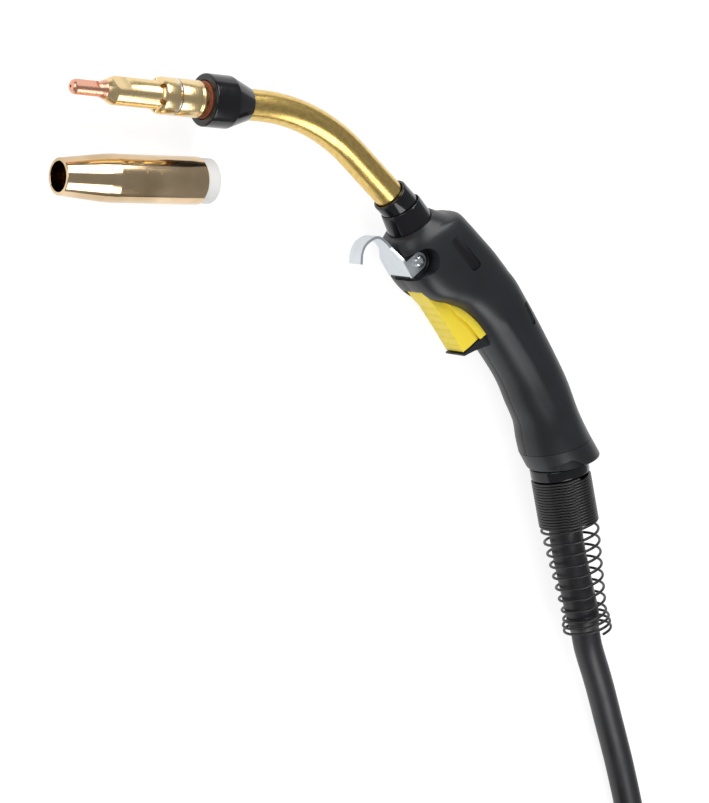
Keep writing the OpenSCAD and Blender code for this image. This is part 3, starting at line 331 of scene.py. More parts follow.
def joined(pieces, sharp=32.0):
    """The first piece, with the others joined to it."""
    return merge(pieces[0], pieces[1:], "UNION", sharp)


def give(obj, finish, nodes=(), body="torch"):
    """Gives a piece its finish, its body, and the construction nodes that it stands for."""
    obj.data.materials.clear()
    obj.data.materials.append(finish)
    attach(obj, body)
    if nodes:
        names = [nodes] if isinstance(nodes, str) else nodes
        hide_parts(*names)
        obj.name = obj.data.name = names[0] + "_skin"
    return obj


def keep(nodes, finish, edge=0.15):
    """Keeps construction nodes, with a finish and soft edges."""
    for name in nodes:
        obj = frame["nodes"][name]
        obj.data.materials.clear()
        obj.data.materials.append(finish)
        obj.data.polygons.foreach_set("use_smooth", [True] * len(obj.data.polygons))
        weld = obj.modifiers.new("weld", "WELD")
        weld.merge_threshold = 1e-6
        if edge:
            soften(obj, edge, angle=38)


def soften(obj, width, segments=2, angle=50):
    """Rounds the edges of a piece that are sharper than an angle."""
    rim = obj.modifiers.new("rim", "BEVEL")
    rim.width, rim.segments, rim.limit_method = width * MM, segments, "ANGLE"
    rim.angle_limit, rim.harden_normals = math.radians(angle), True


# ---- finishes

FINISHES = {}
NOISE_LOW, NOISE_HIGH = 0.3, 0.7
COAT_ROUGHNESS = 0.08
BUMP_DEPTH = 0.0002


def fill(node, values):
    """Gives a node its values and returns it."""
    for name, value in values.items():
        node.inputs[name].default_value = value
    return node


def finish(name, colour, metal=0.0, rough=(0.3, 0.4), tint=0.08, cloud=60.0, grain=0.02, fine=900.0,
           stretch=(1.0, 1.0, 1.0), by_length=False, coat=0.0, second=None, shine=0.5):
    """A procedural finish: colour and roughness that vary in soft clouds, and a fine grain."""
    if name in FINISHES:
        return FINISHES[name]
    mat = bpy.data.materials.new(name)
    mat.use_nodes = True
    mat.diffuse_color = (*colour, 1)
    nodes, link = mat.node_tree.nodes, mat.node_tree.links.new
    shader = fill(nodes["Principled BSDF"], {"Metallic": metal, "Specular IOR Level": shine})
    if coat:
        fill(shader, {"Coat Weight": coat, "Coat Roughness": COAT_ROUGHNESS})
    place = nodes.new("ShaderNodeTexCoord").outputs["UV" if by_length else "Object"]
    scaled = fill(nodes.new("ShaderNodeMapping"), {"Scale": stretch})
    link(place, scaled.inputs["Vector"])

    clouds = fill(nodes.new("ShaderNodeTexNoise"), {"Scale": cloud, "Detail": 4})
    link(place, clouds.inputs["Vector"])
    shade = nodes.new("ShaderNodeValToRGB")
    other = second or colour
    dark, light = shade.color_ramp.elements
    dark.position, light.position = NOISE_LOW, NOISE_HIGH
    dark.color = (*[c * (1 - tint) for c in other], 1)
    light.color = (*[min(1, c * (1 + tint)) for c in colour], 1)
    link(clouds.outputs["Fac"], shade.inputs["Fac"])
    link(shade.outputs["Color"], shader.inputs["Base Color"])

    grains = fill(nodes.new("ShaderNodeTexNoise"), {"Scale": fine, "Detail": 3})
    link(scaled.outputs["Vector"], grains.inputs["Vector"])
    spread = fill(nodes.new("ShaderNodeMapRange"), {
        "From Min": NOISE_LOW, "From Max": NOISE_HIGH, "To Min": rough[0], "To Max": rough[1],
    })
    link((grains if by_length else clouds).outputs["Fac"], spread.inputs["Value"])
    link(spread.outputs["Result"], shader.inputs["Roughness"])

    if grain:
        bump = fill(nodes.new("ShaderNodeBump"), {"Strength": grain, "Distance": BUMP_DEPTH})
        link(grains.outputs["Fac"], bump.inputs["Height"])
        link(bump.outputs["Normal"], shader.inputs["Normal"])
    FINISHES[name] = mat
    return mat


def brass_bar():
    return finish("drawn_brass", colours().brass[:], 1.0, (0.2, 0.3), 0.06, 26, 0.05, 6,
                  (40, 1.5, 1), True, second=(0.68, 0.46, 0.14))


def turned_brass():
    return finish("turned_brass", colours().diffuser[:], 1.0, (0.18, 0.3), 0.06, 90, 0.10, 14,
                  (1, 60, 1), True)


def copper():
    return finish("tip_copper", colours().copper[:], 1.0, (0.2, 0.34), 0.12, 160, 0.10, 12, (1, 40, 1), True,
                  second=(0.72, 0.33, 0.20))


def plain_brass():
    return finish("plain_brass", colours().diffuser[:], 1.0, (0.2, 0.32), cloud=90, grain=0.03)


def nozzle_brass():
    return finish("polished_nozzle", colours().nozzle[:], 1.0, (0.09, 0.13), 0.06, 40, 0,
                  second=(0.60, 0.43, 0.24))


def steel():
    return finish("bright_steel", (0.76, 0.77, 0.79), 1.0, (0.16, 0.3), 0.05, 200, 0.03, 1800)


def zinc():
    return finish("zinc_plate", (0.66, 0.70, 0.73), 1.0, (0.34, 0.48), 0.06, 130, 0.08, 700, (1, 6, 1))


def gloss_black():
    return finish("gloss_black", (0.006, 0.006, 0.008), 0.0, (0.10, 0.18), 0.1, 120, 0.015, 1400, coat=0.2,
                  shine=0.35)


def handle_black():
    return finish("handle_black", colours().handle[:], 0.0, (0.36, 0.44), 0.08, 45, 0.10, 2600)


def label_black():
    return finish("label_black", (0.004, 0.004, 0.005), 0.0, (0.5, 0.6), 0.08, 45, 0.02, 2600, shine=0.28)


def yellow():
    return finish("trigger_yellow", colours().trigger[:], 0.0, (0.36, 0.44), 0.03, 70, 0.05, 2200)


def rubber():
    return finish("cable_rubber", (0.016, 0.016, 0.018), 0.0, (0.36, 0.5), 0.12, 60, 0.06, 1600)


def white_ceramic():
    return finish("white_insulation", (0.86, 0.85, 0.82), 0.0, (0.5, 0.6), 0.02, 90, 0.05, 1500)


def washer_fibre():
    return finish("washer_fibre", (0.36, 0.10, 0.06), 0.0, (0.5, 0.62), 0.16, 400, 0.1, 2400)


def spring_black():
    return finish("spring_black", (0.008, 0.008, 0.009), 0.0, (0.3, 0.4), 0.1, 300, 0.02, 1500)


def button_red():
    return finish("button_red", (0.50, 0.09, 0.06), 0.0, (0.36, 0.46), 0.06, 200, 0.04, 2200)


# ---- sizes and colours


class TorchSizes(bpy.types.PropertyGroup):
    """Sizes of the visible pieces that may be changed before they are built."""

    neck_diameter: FloatProperty(name="Neck Diameter", description="Outer diameter of the brass neck tube",
                                 default=0.0168, min=0.01, max=0.03, unit="LENGTH")
    tip_diameter: FloatProperty(name="Tip Diameter", description="Diameter of the contact tip",
                                default=0.008, min=0.004, max=0.012, unit="LENGTH")
    nozzle_diameter: FloatProperty(name="Nozzle Diameter", description="Outer diameter of the nozzle body",
                                   default=2 * NOZZLE_R * MM, min=0.02, max=0.03, unit="LENGTH")
    cable_diameter: FloatProperty(name="Cable Diameter", description="Outer diameter of the cable",
                                  default=0.017, min=0.01, max=0.02, unit="LENGTH")
    spring_wire: FloatProperty(name="Spring Wire", description="Diameter of the wire of the support spring",
                               default=0.0016, min=0.001, max=0.0019, unit="LENGTH")
    spring_close_turns: IntProperty(name="Close Turns", description="Number of close turns of the spring",
                                    default=17, min=8, max=17)
    spring_open_turns: IntProperty(name="Open Turns", description="Number of open turns of the spring",
                                   default=8, min=6, max=9)


class TorchColours(bpy.types.PropertyGroup):
    """Colours of the main finishes."""

    brass: FloatVectorProperty(name="Neck Brass", description="Colour of the drawn brass neck", subtype="COLOR",
                               size=3, default=(0.80, 0.57, 0.19), min=0, max=1)
    diffuser: FloatVectorProperty(name="Diffuser Brass", description="Colour of turned brass", subtype="COLOR",
                                  size=3, default=(0.84, 0.64, 0.34), min=0, max=1)
    copper: FloatVectorProperty(name="Tip Copper", description="Colour of the contact tip", subtype="COLOR",
                                size=3, default=(0.86, 0.47, 0.34), min=0, max=1)
    nozzle: FloatVectorProperty(name="Nozzle", description="Colour of the polished nozzle", subtype="COLOR",
                                size=3, default=(0.76, 0.57, 0.36), min=0, max=1)
    handle: FloatVectorProperty(name="Handle", description="Colour of the handle shells", subtype="COLOR",
                                size=3, default=(0.010, 0.011, 0.0135), min=0, max=1)
    trigger: FloatVectorProperty(name="Trigger", description="Colour of the trigger", subtype="COLOR",
                                 size=3, default=(1.0, 0.77, 0.05), min=0, max=1)


def sizes():
    return bpy.context.scene.torch_sizes


def colours():
    return bpy.context.scene.torch_colours


# ---- stage and cable


class TORCH_OT_stage(bpy.types.Operator):
    """Builds the pale floor, the soft lamps and the camera"""

    bl_idname = "torch.stage"
    bl_label = "Stage"

    def execute(self, context):
        scene = context.scene
        scene.view_settings.view_transform = "Standard"
        world = bpy.data.worlds.new("studio")
        world.use_nodes = True
        fill(world.node_tree.nodes["Background"], {"Color": (0.80, 0.82, 0.85, 1), "Strength": 0.36})
        scene.world = world

        wide = 9000
        corners = [(-wide, -wide), (wide, -wide), (wide, wide), (-wide, wide)]
        floor = slab("floor", corners, -20, -0.05, Matrix())
        floor.data.materials.append(floor_finish())

        for name, spot, aim, size, power in (
            ("softbox_left", (340, 1320, 1240), (-100, 0, 20), (760, 1300), 17),
            ("softbox_right", (430, -1360, 1100), (-100, -40, 20), (820, 1300), 14),
            ("softbox_front", (-1500, 500, 900), (0, 0, 20), (1200, 1200), 9),
        ):
            lamp = bpy.data.lights.new(name, "AREA")
            lamp.shape, lamp.size, lamp.size_y, lamp.energy = "RECTANGLE", size[0] * MM, size[1] * MM, power
            obj = bpy.data.objects.new(name, lamp)
            scene.collection.objects.link(obj)
            obj.location = Vector(spot) * MM
            obj.rotation_euler = (Vector(aim) * MM - obj.location).to_track_quat("-Z", "Y").to_euler()

        lens = bpy.data.cameras.new("camera")
        lens.sensor_fit, lens.sensor_width, lens.lens = "AUTO", 36, 134.5
        lens.clip_start, lens.clip_end = 0.1, 20
        camera = bpy.data.objects.new("camera", lens)
        scene.collection.objects.link(camera)
        camera.matrix_world = Matrix((
            (0.80194, -0.02618, -0.59684, -0.97695),
            (0.08296, 0.99424, 0.06786, 0.09377),
            (0.59162, -0.10393, 0.79949, 1.3287),
            (0, 0, 0, 1),
        ))
        scene.camera = camera
        return {"FINISHED"}


def floor_finish():
    """A pale matt floor that looks nearly white and keeps the shadow."""
    mat = bpy.data.materials.new("pale_floor")
    mat.use_nodes = True
    nodes, link = mat.node_tree.nodes, mat.node_tree.links.new
    shader = fill(nodes["Principled BSDF"], {
        "Base Color": (0.86, 0.86, 0.86, 1), "Roughness": 0.9, "Specular IOR Level": 0.1,
    })
    glow = fill(nodes.new("ShaderNodeEmission"), {"Strength": 1.3})
    seen = nodes.new("ShaderNodeLightPath")
    share = nodes.new("ShaderNodeMath")
    share.operation = "MULTIPLY"
    share.inputs[1].default_value = 0.65
    either = seen.outputs["Is Camera Ray"]
    for ray in ("Is Glossy Ray", "Is Transmission Ray"):
        most = nodes.new("ShaderNodeMath")
        most.operation = "MAXIMUM"
        link(either, most.inputs[0])
        link(seen.outputs[ray], most.inputs[1])
        either = most.outputs["Value"]
    link(either, share.inputs[0])
    mix = nodes.new("ShaderNodeMixShader")
    link(share.outputs["Value"], mix.inputs["Fac"])
    link(shader.outputs["BSDF"], mix.inputs[1])
    link(glow.outputs["Emission"], mix.inputs[2])
    link(mix.outputs["Shader"], nodes["Material Output"].inputs["Surface"])
    return mat


LEAD_POINTS = [
    (233.9, -300.3, 18.1), (239.1, -308.4, 16.8), (245, -317.6, 15.1), (251.2, -328, 13.3),
    (257.6, -339.2, 11.5), (264.3, -351.6, 10.1), (270.7, -364.4, 9.2), (276.4, -377.2, 8.7), (282, -391, 8.5),
    (287.4, -406, 8.5), (291.8, -422.5, 8.5), (294.9, -440, 8.5), (296.5, -459, 8.5),
    (297, -480, 8.5), (297, -501, 8.5),
    (297, -523, 8.5),
]
CORE_POINTS = [(100, 19.4), (112, 20.6), (124, 21), (136, 20.8), (148, 20.2), (160, 18.6), (170, 16.6)]
TAIL_POINTS = [
    (163, -657, 26.1), (146, -657, 26.1), (128, -657, 25.2), (110, -657, 23.4), (95, -657, 21.7),
    (84, -657, 21), (66, -657, 21),
]
COIL_AT = (180, -540)
COIL_R, COIL_PITCH, COIL_TURNS, COIL_LAYER = 117.0, 17.6, 4.25, 17.6
SPRING_FROM = 19.4
SPRING_LENGTHS = (28.6, 56.9, 12.0)
SPRING_DIAMETERS = (35.0, 26.6, 29.0)
SPRING_TO = SPRING_FROM + sum(SPRING_LENGTHS)
CAD_WIRE, CAD_FACET = 1.8, 45.0
CABLE_ROOM = 9.1
CABLE_SKIN = 0.03
SWELL, SWELL_LIFT = 1.3, 0.8


def core_drop(s):
    """How far the cable sinks inside the spring, at a length from the handle."""
    narrow, end = SPRING_FROM + SPRING_LENGTHS[0], SPRING_TO - SPRING_LENGTHS[2]
    wide, waist, end_wide = SPRING_DIAMETERS
    width = wide + (waist - wide) * ramp(s, narrow, end)
    width += (end_wide - waist) * ramp(s - end, 0, 4)
    inner = (width - CAD_WIRE) / 2 * cos(CAD_FACET / 2) - CAD_WIRE / 2
    return ramp(s - NUT_TO, 0, 30) * (inner - CABLE_ROOM)


def coil_point(t):
    """Centre of the coiled cable after t turns: in along the floor, up, and out again on top."""
    mid = COIL_TURNS / 2
    r = COIL_R - COIL_PITCH * (mid - abs(t - mid))
    rise = ramp(t - mid, -0.25, 0.25)
    a = -2 * math.pi * t
    return (COIL_AT[0] + r * math.cos(a), COIL_AT[1] + r * math.sin(a), 8.5 + COIL_LAYER * rise)


def cable_path():
    """The free cable from the end of its support to the connector, in metres."""
    rear = add(HANDLE_AT, turned(REAR_AT, HANDLE_TURN))
    out = turned((1, 0), HANDLE_TURN - REAR_ANGLE)
    tail, z = add(rear, tuple(c * SPRING_TO for c in out)), MID_Z - core_drop(SPRING_TO)
    points = [(*tail, z), (*add(tail, (8.5 * out[0], 8.5 * out[1])), z), *LEAD_POINTS]
    points += [coil_point(k / 24) for k in range(int(COIL_TURNS * 24) + 1)]
    points += TAIL_POINTS
    return [tuple(c * MM for c in (x + SHIFT[0], y + SHIFT[1], z)) for x, y, z in points]


class TORCH_OT_cable(bpy.types.Operator):
    """Builds the free cable, which runs off in a coil to its connector"""

    bl_idname = "torch.cable"
    bl_label = "Cable"

    def execute(self, context):
        knots = cable_path()
        path = curve_through(knots, 3)
        diameter = sizes().cable_diameter
        radius = diameter / 2 / MM - CABLE_SKIN
        cable = sweep("cable", [tuple(c / MM for c in p) for p in path], radius, 32, Matrix())
        give(cable, rubber(), ("cable_lead", "cable_coil", "cable_tail"))
        plug = ["plug_left_shell", "plug_right_shell", "plug_screws", "plug_core", "current_pin",
                "control_pins", "pin_sockets", "adaptor_nut", "wire_guide"]
        pieces = [frame["nodes"][n] for n in plug]
        pieces += [bpy.data.objects[n] for n in ("plug_boot_skin", "plug_o_ring_skin")]
        return {"FINISHED"}


# ---- head and neck


class TORCH_OT_contact_tip(bpy.types.Operator):
    """Builds the copper contact tip with its two milled flats and its wire hole"""

    bl_idname = "torch.contact_tip"
    bl_label = "Contact Tip"

    def execute(self, context):
        r = sizes().tip_diameter / 2 / MM
        seat, end = 60.0, 80.0
        tip = lathe("contact_tip", [
            (0, seat - 12), (r - 0.55, seat - 12), (r - 0.55, seat), (r + 0.9, seat), (r + 0.9, seat + 0.5),
            (r, seat + 3.4), (r, end - 2.6), (r - 0.5, end - 1.3), (r - 1.3, end - 0.4), (r - 2.4, end),
            (0.85, end), (0.7, end - 0.2), (0.7, end - 16), (0, end - 16),
        ], HEAD, 96, 0.25)
        merge(tip, [block((r - 0.9, -8, end - 14.9), (8, 16, 13.2), HEAD @ turn(230 + a)) for a in (0, 180)])
        give(tip, copper(), "contact_tip")
        return {"FINISHED"}


class TORCH_OT_diffuser(bpy.types.Operator):
    """Builds the brass gas diffuser with its gas holes and spanner flats, its split ring and its washer"""

    bl_idname = "torch.diffuser"
    bl_label = "Gas Diffuser"

    def execute(self, context):
        rear, front, end = 9.8, 7.5, 60.0
        shoulder = [(front + (rear - front) * cos(a), 25.8 + 3.7 * sin(a)) for a in range(0, 91, 6)]
        diffuser = lathe("gas_diffuser", [
            (0, -3), (6.4, -3), (6.4, 0.35), (rear - 1, 0.4), (rear - 1, 3), (rear, 3.8), (rear, 5),
            (rear - 0.6, 5.2), (rear - 0.6, 6), (rear, 6.2), (rear, 17.8),
            (rear - 1.4, 17.8), (rear - 1.4, 19.7), (rear, 19.7), *shoulder,
            (front, end - 4.8), (5.2, end), (3.55, end), (3.55, end - 13), (0, end - 13),
        ], HEAD, 128, 0.18, 2)
        cuts = [bar(1.3, 4, 12, HEAD @ turn(215 + 60 * i) @ move(0, 0, 29.1) @ turn(90, "Y"), 24)
                for i in range(6)]
        flat_at, flat_from, mill_r = front - 1.5, end - 8.2, 13.2
        for a in (0, 180):
            side = HEAD @ turn(228 + a)
            cutter = block((flat_at, -9, flat_from), (8, 18, 12), side)
            mill = bar(mill_r, -9, 9, side @ move(flat_at + mill_r, 0, flat_from) @ turn(-90, "X"), 96)
            cuts.append(joined([cutter, mill]))
        merge(diffuser, cuts)
        give(diffuser, turned_brass(), "gas_diffuser")

        ring_r = rear - 0.65
        ring = sweep("nozzle_retaining_ring", [
            (ring_r * cos(a), ring_r * sin(a), 18.75) for a in range(200, 533, 3)
        ], 0.7, 12, HEAD)
        give(ring, steel(), "nozzle_retaining_ring")
        washer = [(8.35, -1.1), (9.9, -1.1), (9.9, 0.4), (8.35, 0.4)]
        washer = lathe("insulating_washer", washer, HEAD, 96, 0.15)
        give(washer, washer_fibre(), "insulating_washer")
        return {"FINISHED"}


class TORCH_OT_neck(bpy.types.Operator):
    """Builds the bent brass neck, the black insulator at its front, and the sleeve and boot at its rear"""

    bl_idname = "torch.neck"
    bl_label = "Neck"

    def execute(self, context):
        r = 14.0
        insulator = lathe("neck_insulator", [
            (10.35, 0), (r - 0.9, 0), (r - 0.3, -0.3), (r, -0.9), (r, -14.8), (9.1, -27.2), (8.45, -27.2),
            (8.45, -1.1), (10.35, -1.1),
        ], HEAD, 128, 0.45, 4)
        give(insulator, gloss_black(), "neck_insulator")

        neck_r = sizes().neck_diameter / 2 / MM
        path = [(-57.3, 0), *arc((-BEND_TANGENT, -NECK_BEND_R), NECK_BEND_R, 0, NECK_ANGLE, 60)]
        second = turned((BEND_TANGENT + NECK_LEN, 0), -NECK_ANGLE)
        centre = add(second, turned((0, -HANDLE_BEND_R), -NECK_ANGLE))
        path += arc(centre, HANDLE_BEND_R, NECK_ANGLE, NECK_ANGLE + HANDLE_ANGLE, 16)
        path.append(add(HANDLE_AT, turned((12, 0), HANDLE_TURN)))
        neck = sweep("gooseneck_jacket", [(x, y, 0) for x, y in path], neck_r, 96, flat_frame((0, 0), 0))
        give(neck, brass_bar(), "gooseneck_jacket")

        sleeve_r = 10.45
        sleeve = lathe("neck_sleeve", [
            (8.9, -10.8), (sleeve_r - 0.4, -10.8), (sleeve_r, -10.2), (sleeve_r, 0.3), (sleeve_r - 0.5, 0.8),
            (8.9, 0.8),
        ], axis_frame(HANDLE_AT, -NECK_ANGLE), 96, 0.4)
        give(sleeve, gloss_black(), "neck_sleeve")
        boot = lathe("neck_boot", [
            (11.2, -1), (11.6, -0.7), (11.9, 0.3), (13.2, 11), (13.2, 14), (8.9, 14), (8.9, 3.6), (11.2, 3.6),
        ], handle_axis((0, 0), 0), 128, 0.3)
        give(boot, gloss_black(), "neck_boot")
        return {"FINISHED"}


def arc(centre, radius, start, end, steps):
    """Points of an arc that bends down, by the turn of its tangent."""
    turns = (start + (end - start) * k / steps for k in range(steps + 1))
    return [add(centre, (radius * sin(a), radius * cos(a))) for a in turns]


# ---- handle

NOSE_R, NOSE_U = 14.5, 11.0
BELLY, BACK, HALF = 21.0, 39.0, 20.0
GRIP_HALF = 17.0


def seam_point(du, v):
    """A point of the seam between the shells and the rear ring, moved along the handle."""
    return add(add(REAR_AT, (du, -RING_DROP)), turned((0, v), -SEAM_TURN))


HANDLE_ROWS = [
    (NOSE_U, -NOSE_R, NOSE_U, NOSE_R, NOSE_R, 2),
    (12, -17, 17.5, NOSE_R + 5.5, HALF - 3.6, 2.4),
    (17, -19.8, 21.5, BACK - 13, HALF - 1.5, 2.8),
    (25, -BELLY, 30, BACK - 11, HALF - 0.4, 3.2),
    (37, -BELLY, 41, BACK - 8.7, HALF, 3.4),
    (49, -17.5, 53, BACK - 6, HALF, 3.4),
    (58, -10.5, 64, BACK - 4.3, HALF - 0.2, 3.2),
    (67, -4, 75, BACK - 2.1, HALF - 0.7, 3),
    (78, 0, 88, BACK - 1.3, HALF - 1.3, 2.8),
    (90, 1.5, 100, BACK - 0.5, GRIP_HALF + 1, 2.6),
    (113, 3, 118, BACK - 0.1, GRIP_HALF + 0.2, 2.4),
    (127, 3, 134, BACK - 0.3, GRIP_HALF, 2.3),
    (140, 1.2, HANDLE_LEN - 29, BACK - 1.2, GRIP_HALF + 0.4, 2.2),
    (HANDLE_LEN - 25, -0.1, HANDLE_LEN - 12, BACK - 4.2, GRIP_HALF + 1.6, 2.1),
    (*seam_point(-9, -RING_R + 2.6), *seam_point(-9, RING_R + 0.4), RING_R - 0.9, 2),
    (*seam_point(0, -RING_R), *seam_point(0, RING_R), RING_R, 2),
]
WALL = 2.6
SCREWS = [(36, 22, 14), (74, 29, 11), (112, 33, 9), (128, 8.6, 9), (153.3, 4.6, 9)]
LABEL = [(26.6, 5.6), (26.6, 12), (49.8, 16.2), (49.8, 9.2)]
BACK_RECESS = [(87.6, 31.4), (88.7, 29.6), (101.6, 28.8), (102.7, 30.5), (101.6, 32.2), (88.7, 33)]
PIVOT = (26.8, -12.3)
TRIGGER_PIN = (48, -11.5)


def power(x, e):
    return math.copysign(abs(x) ** e, x)


def smooth_step(x, low, high):
    t = ramp(x, low, high)
    return t * t * (3 - 2 * t)


def faded(t, share):
    """1 along a line, but for a share at each end where it fades to 0."""
    return smooth_step(t, 0, share) * (1 - smooth_step(t, 1 - share, 1))


def to_line(p, line):
    """Least distance from a point to a line of points, and how far along it that is, from 0 to 1."""
    best = (1e9, 0)
    for i, (a, b) in enumerate(zip(line, line[1:])):
        ax, ay = b[0] - a[0], b[1] - a[1]
        t = ramp((p[0] - a[0]) * ax + (p[1] - a[1]) * ay, 0, ax * ax + ay * ay)
        d = math.hypot(p[0] - a[0] - t * ax, p[1] - a[1] - t * ay)
        best = min(best, (d, (i + t) / (len(line) - 1)))
    return best


SWOOP = [(80, 13), (92, 15), (106, 16.5), (122, 17.5), (140, 17), (156, 15.5)]
RIBS = [[(u0, 16.4 + 0.5 * i), (u0 + 17, 18.2 + 0.6 * i)] for i, u0 in enumerate((88, 98, 108, 118, 128, 138))]


def relief(u, v, w):
    """How far the moulded details stand out of the handle's smooth form, in millimetres."""
    out = 0.0
    if w > 8:
        d, t = to_line((u, v), SWOOP)
        out += 0.55 * math.exp(-(d / 3.4) ** 2) * faded(t, 0.15)
        for line in RIBS:
            d, t = to_line((u, v), line)
            out -= 0.28 * (1 - smooth_step(d, 0.25, 0.9)) * faded(t, 0.2)
    out -= 0.25 * (1 - smooth_step(w, 0.05, 0.45))
    step = math.exp(-((u - 66) / 9) ** 2) * smooth_step(v, 27, 33) * (1 - smooth_step(w, 9, 15))
    out += 0.4 * step * (1 - 2 * smooth_step(u, 65.4, 66.8))
    return out


def section(row, steps, full=False):
    """Points and normals of a rounded section, from its back over one side to its belly, or all round."""
    belly, spine = Vector(row[0:2]), Vector(row[2:4])
    centre, half = (belly + spine) / 2, (spine - belly) / 2
    out = []
    for k in range(2 * steps if full else steps + 1):
        a = math.pi * k / steps
        c, s = power(math.cos(a), 2 / row[5]), power(math.sin(a), 2 / row[5])
        point, normal = Vector((*(centre + c * half), row[4] * s)), Vector((*(half.normalized() * c), s))
        out.append((point, normal.normalized()))
    return out


def half_handle(name, side):
    """One shell of the handle, as the solid between its skin and the plane of symmetry."""
    rings = []
    for row in curve_through(HANDLE_ROWS, 18):
        ring = [p + relief(*p) * normal for p, normal in section(row, 80)]
        ring[0].z = ring[-1].z = 0.0
        rings.append([(p.x, p.y, side * (p.z + EPS)) for p in ring])
    return loft(name, rings, HANDLE)


def handle_room(here):
    """The hollow of a shell, without the bosses and pocket walls that stand in it."""
    rows = []
    for i, row in enumerate(HANDLE_ROWS[2:]):
        belly, spine = Vector(row[0:2]), Vector(row[2:4])
        inward, back = WALL * (spine - belly).normalized(), Vector((WALL if i == 0 else 0, 0))
        rows.append((*(belly + inward + back), *(spine - inward + back), row[4] - WALL, row[5]))
    inner = RING_R - WALL
    rows.append((*seam_point(6, -inner), *seam_point(6, inner), inner, 2))
    room = loft("cutter", [[p for p, _ in section(row, 32, True)] for row in curve_through(rows, 4)], HANDLE)
    stay = [bar(3.2, -1, 30, here @ move(u, v, 0), 32) for u, v, _ in SCREWS]
    stay += [
        bar(3.5, 9.1, 30, here @ move(*TRIGGER_PIN, 0), 32),
        bar(9.1, 7.3, 30, here @ move(*PIVOT, 0)),
        block((PIVOT[0] - 9.1, -23, 7.3), (18.2, 23 + PIVOT[1], 20), here),
    ]
    return merge(room, stay)


class TORCH_OT_handle(bpy.types.Operator):
    """Builds the two moulded shells of the handle with their recesses, the shell screws and the label plates"""

    bl_idname = "torch.handle"
    bl_label = "Handle Shells"

    def execute(self, context):
        for name, side in (("handle_left_shell", 1), ("handle_right_shell", -1)):
            here = mirrored(side)
            shell = half_handle(name, side)
            guard = [(88, -15.4), (91, -15.4), (93, -8), (96.5, 1.5), (99, 6), (88, 8)]
            joined([shell, slab("guard", fillet(guard, 0.8), EPS, 8.0, here, 0.35)])
            cuts = [
                handle_room(here),
                bar(13.4, 5, 14, handle_axis((0, 0), 0), 96),
                bar(8.6, 13, 38, handle_axis((0, 0), 0)),
                lathe("cutter", [(0, 8.9), (7.1, 8.9), (7.5, 9.3), (7.5, 30), (0, 30)],
                      here @ move(*PIVOT, 0), 64),
                block((PIVOT[0] - 7.5, -30, 8.9), (15, 30 + PIVOT[1], 20), here),
                block((0, -30, -1), (34.3, 30 - 19.75, 11.6), here),
                slab("cutter", [(43.5, -25), (43.5, -12), (47, -8.5), (57, -6), (57, -25)], -1, 8.1, here),
                block((56, -25, -1), (33.8, 30.3, 10.9), here),
                slab("cutter", fillet(LABEL, 2.6, 6), 19, 30, here),
                slab("cutter", BACK_RECESS, 15, 30, here),
            ]
            if side < 0:
                cuts += [bar(2.5, depth, 30, here @ move(u, v, 0), 32) for u, v, depth in SCREWS]
            merge(shell, cuts, sharp=40)
            soften(shell, 0.35)
            give(shell, handle_black(), name)
        keep(("label_plates",), label_black(), 0.1)
        keep(("handle_screws",), steel(), 0.1)
        return {"FINISHED"}


class TORCH_OT_end_ring(bpy.types.Operator):
    """Builds the ring that closes the handle at the rear"""

    bl_idname = "torch.end_ring"
    bl_label = "End Ring"

    def execute(self, context):
        belly, spine = seam_point(0.25, -RING_R), seam_point(0.25, RING_R)
        slope = math.radians(REAR_ANGLE)
        rows = [(*belly, *spine, RING_R, 2)]
        for s, inset in ((5.4, 0), (10.9, 0), (11.4, 0.12), (11.9, 0.45), (12.2, 0.85), (RING_LEN, 1.5)):
            row = []
            for v in (belly[1] + inset, spine[1] - inset):
                row += [REAR_AT[0] + s / math.cos(slope) + (v - REAR_AT[1]) * math.tan(slope), v]
            rows.append((*row, 21.5 - inset, 2))
        ring = loft("handle_end_ring", [[p for p, _ in section(row, 64, True)] for row in rows], HANDLE)
        spigot = bar(16.7, -2, 2, handle_axis(add(REAR_AT, (0, -RING_DROP)), -SEAM_TURN), 64)
        notch = slab("cutter", [
            (6.2, -6), (8.3, -1.8), (12.9, 3.2), (15, 4), (15, -26), (11.6, -23), (10.1, -17.5), (7.8, -11.1),
        ], -30, 30, HANDLE @ move(*REAR_AT, 0) @ turn(-REAR_ANGLE))
        merge(notch, [bar(18.8, -40, 40, REAR, 128)])
        joined([ring, spigot])
        merge(ring, [notch, bar(12.1, -20, 20, REAR, 64)], sharp=40)
        soften(ring, 0.3)
        give(ring, handle_black(), "handle_end_ring")
        return {"FINISHED"}


# ---- hook

HOOK_V = -BELLY + 0.4
HOOK_T = 1.5
HOOK_HALF = 10.5
HOOK_POINTS = [(31, 0), (15.1, 0), (7.7, -0.9), (1.8, -4.2), (0.3, -11.5), (2.5, -16.9), (7.5, -21.1)]


def hook_half_width(u):
    return HOOK_HALF / 2 * (1 + ramp(u, 12, 20))


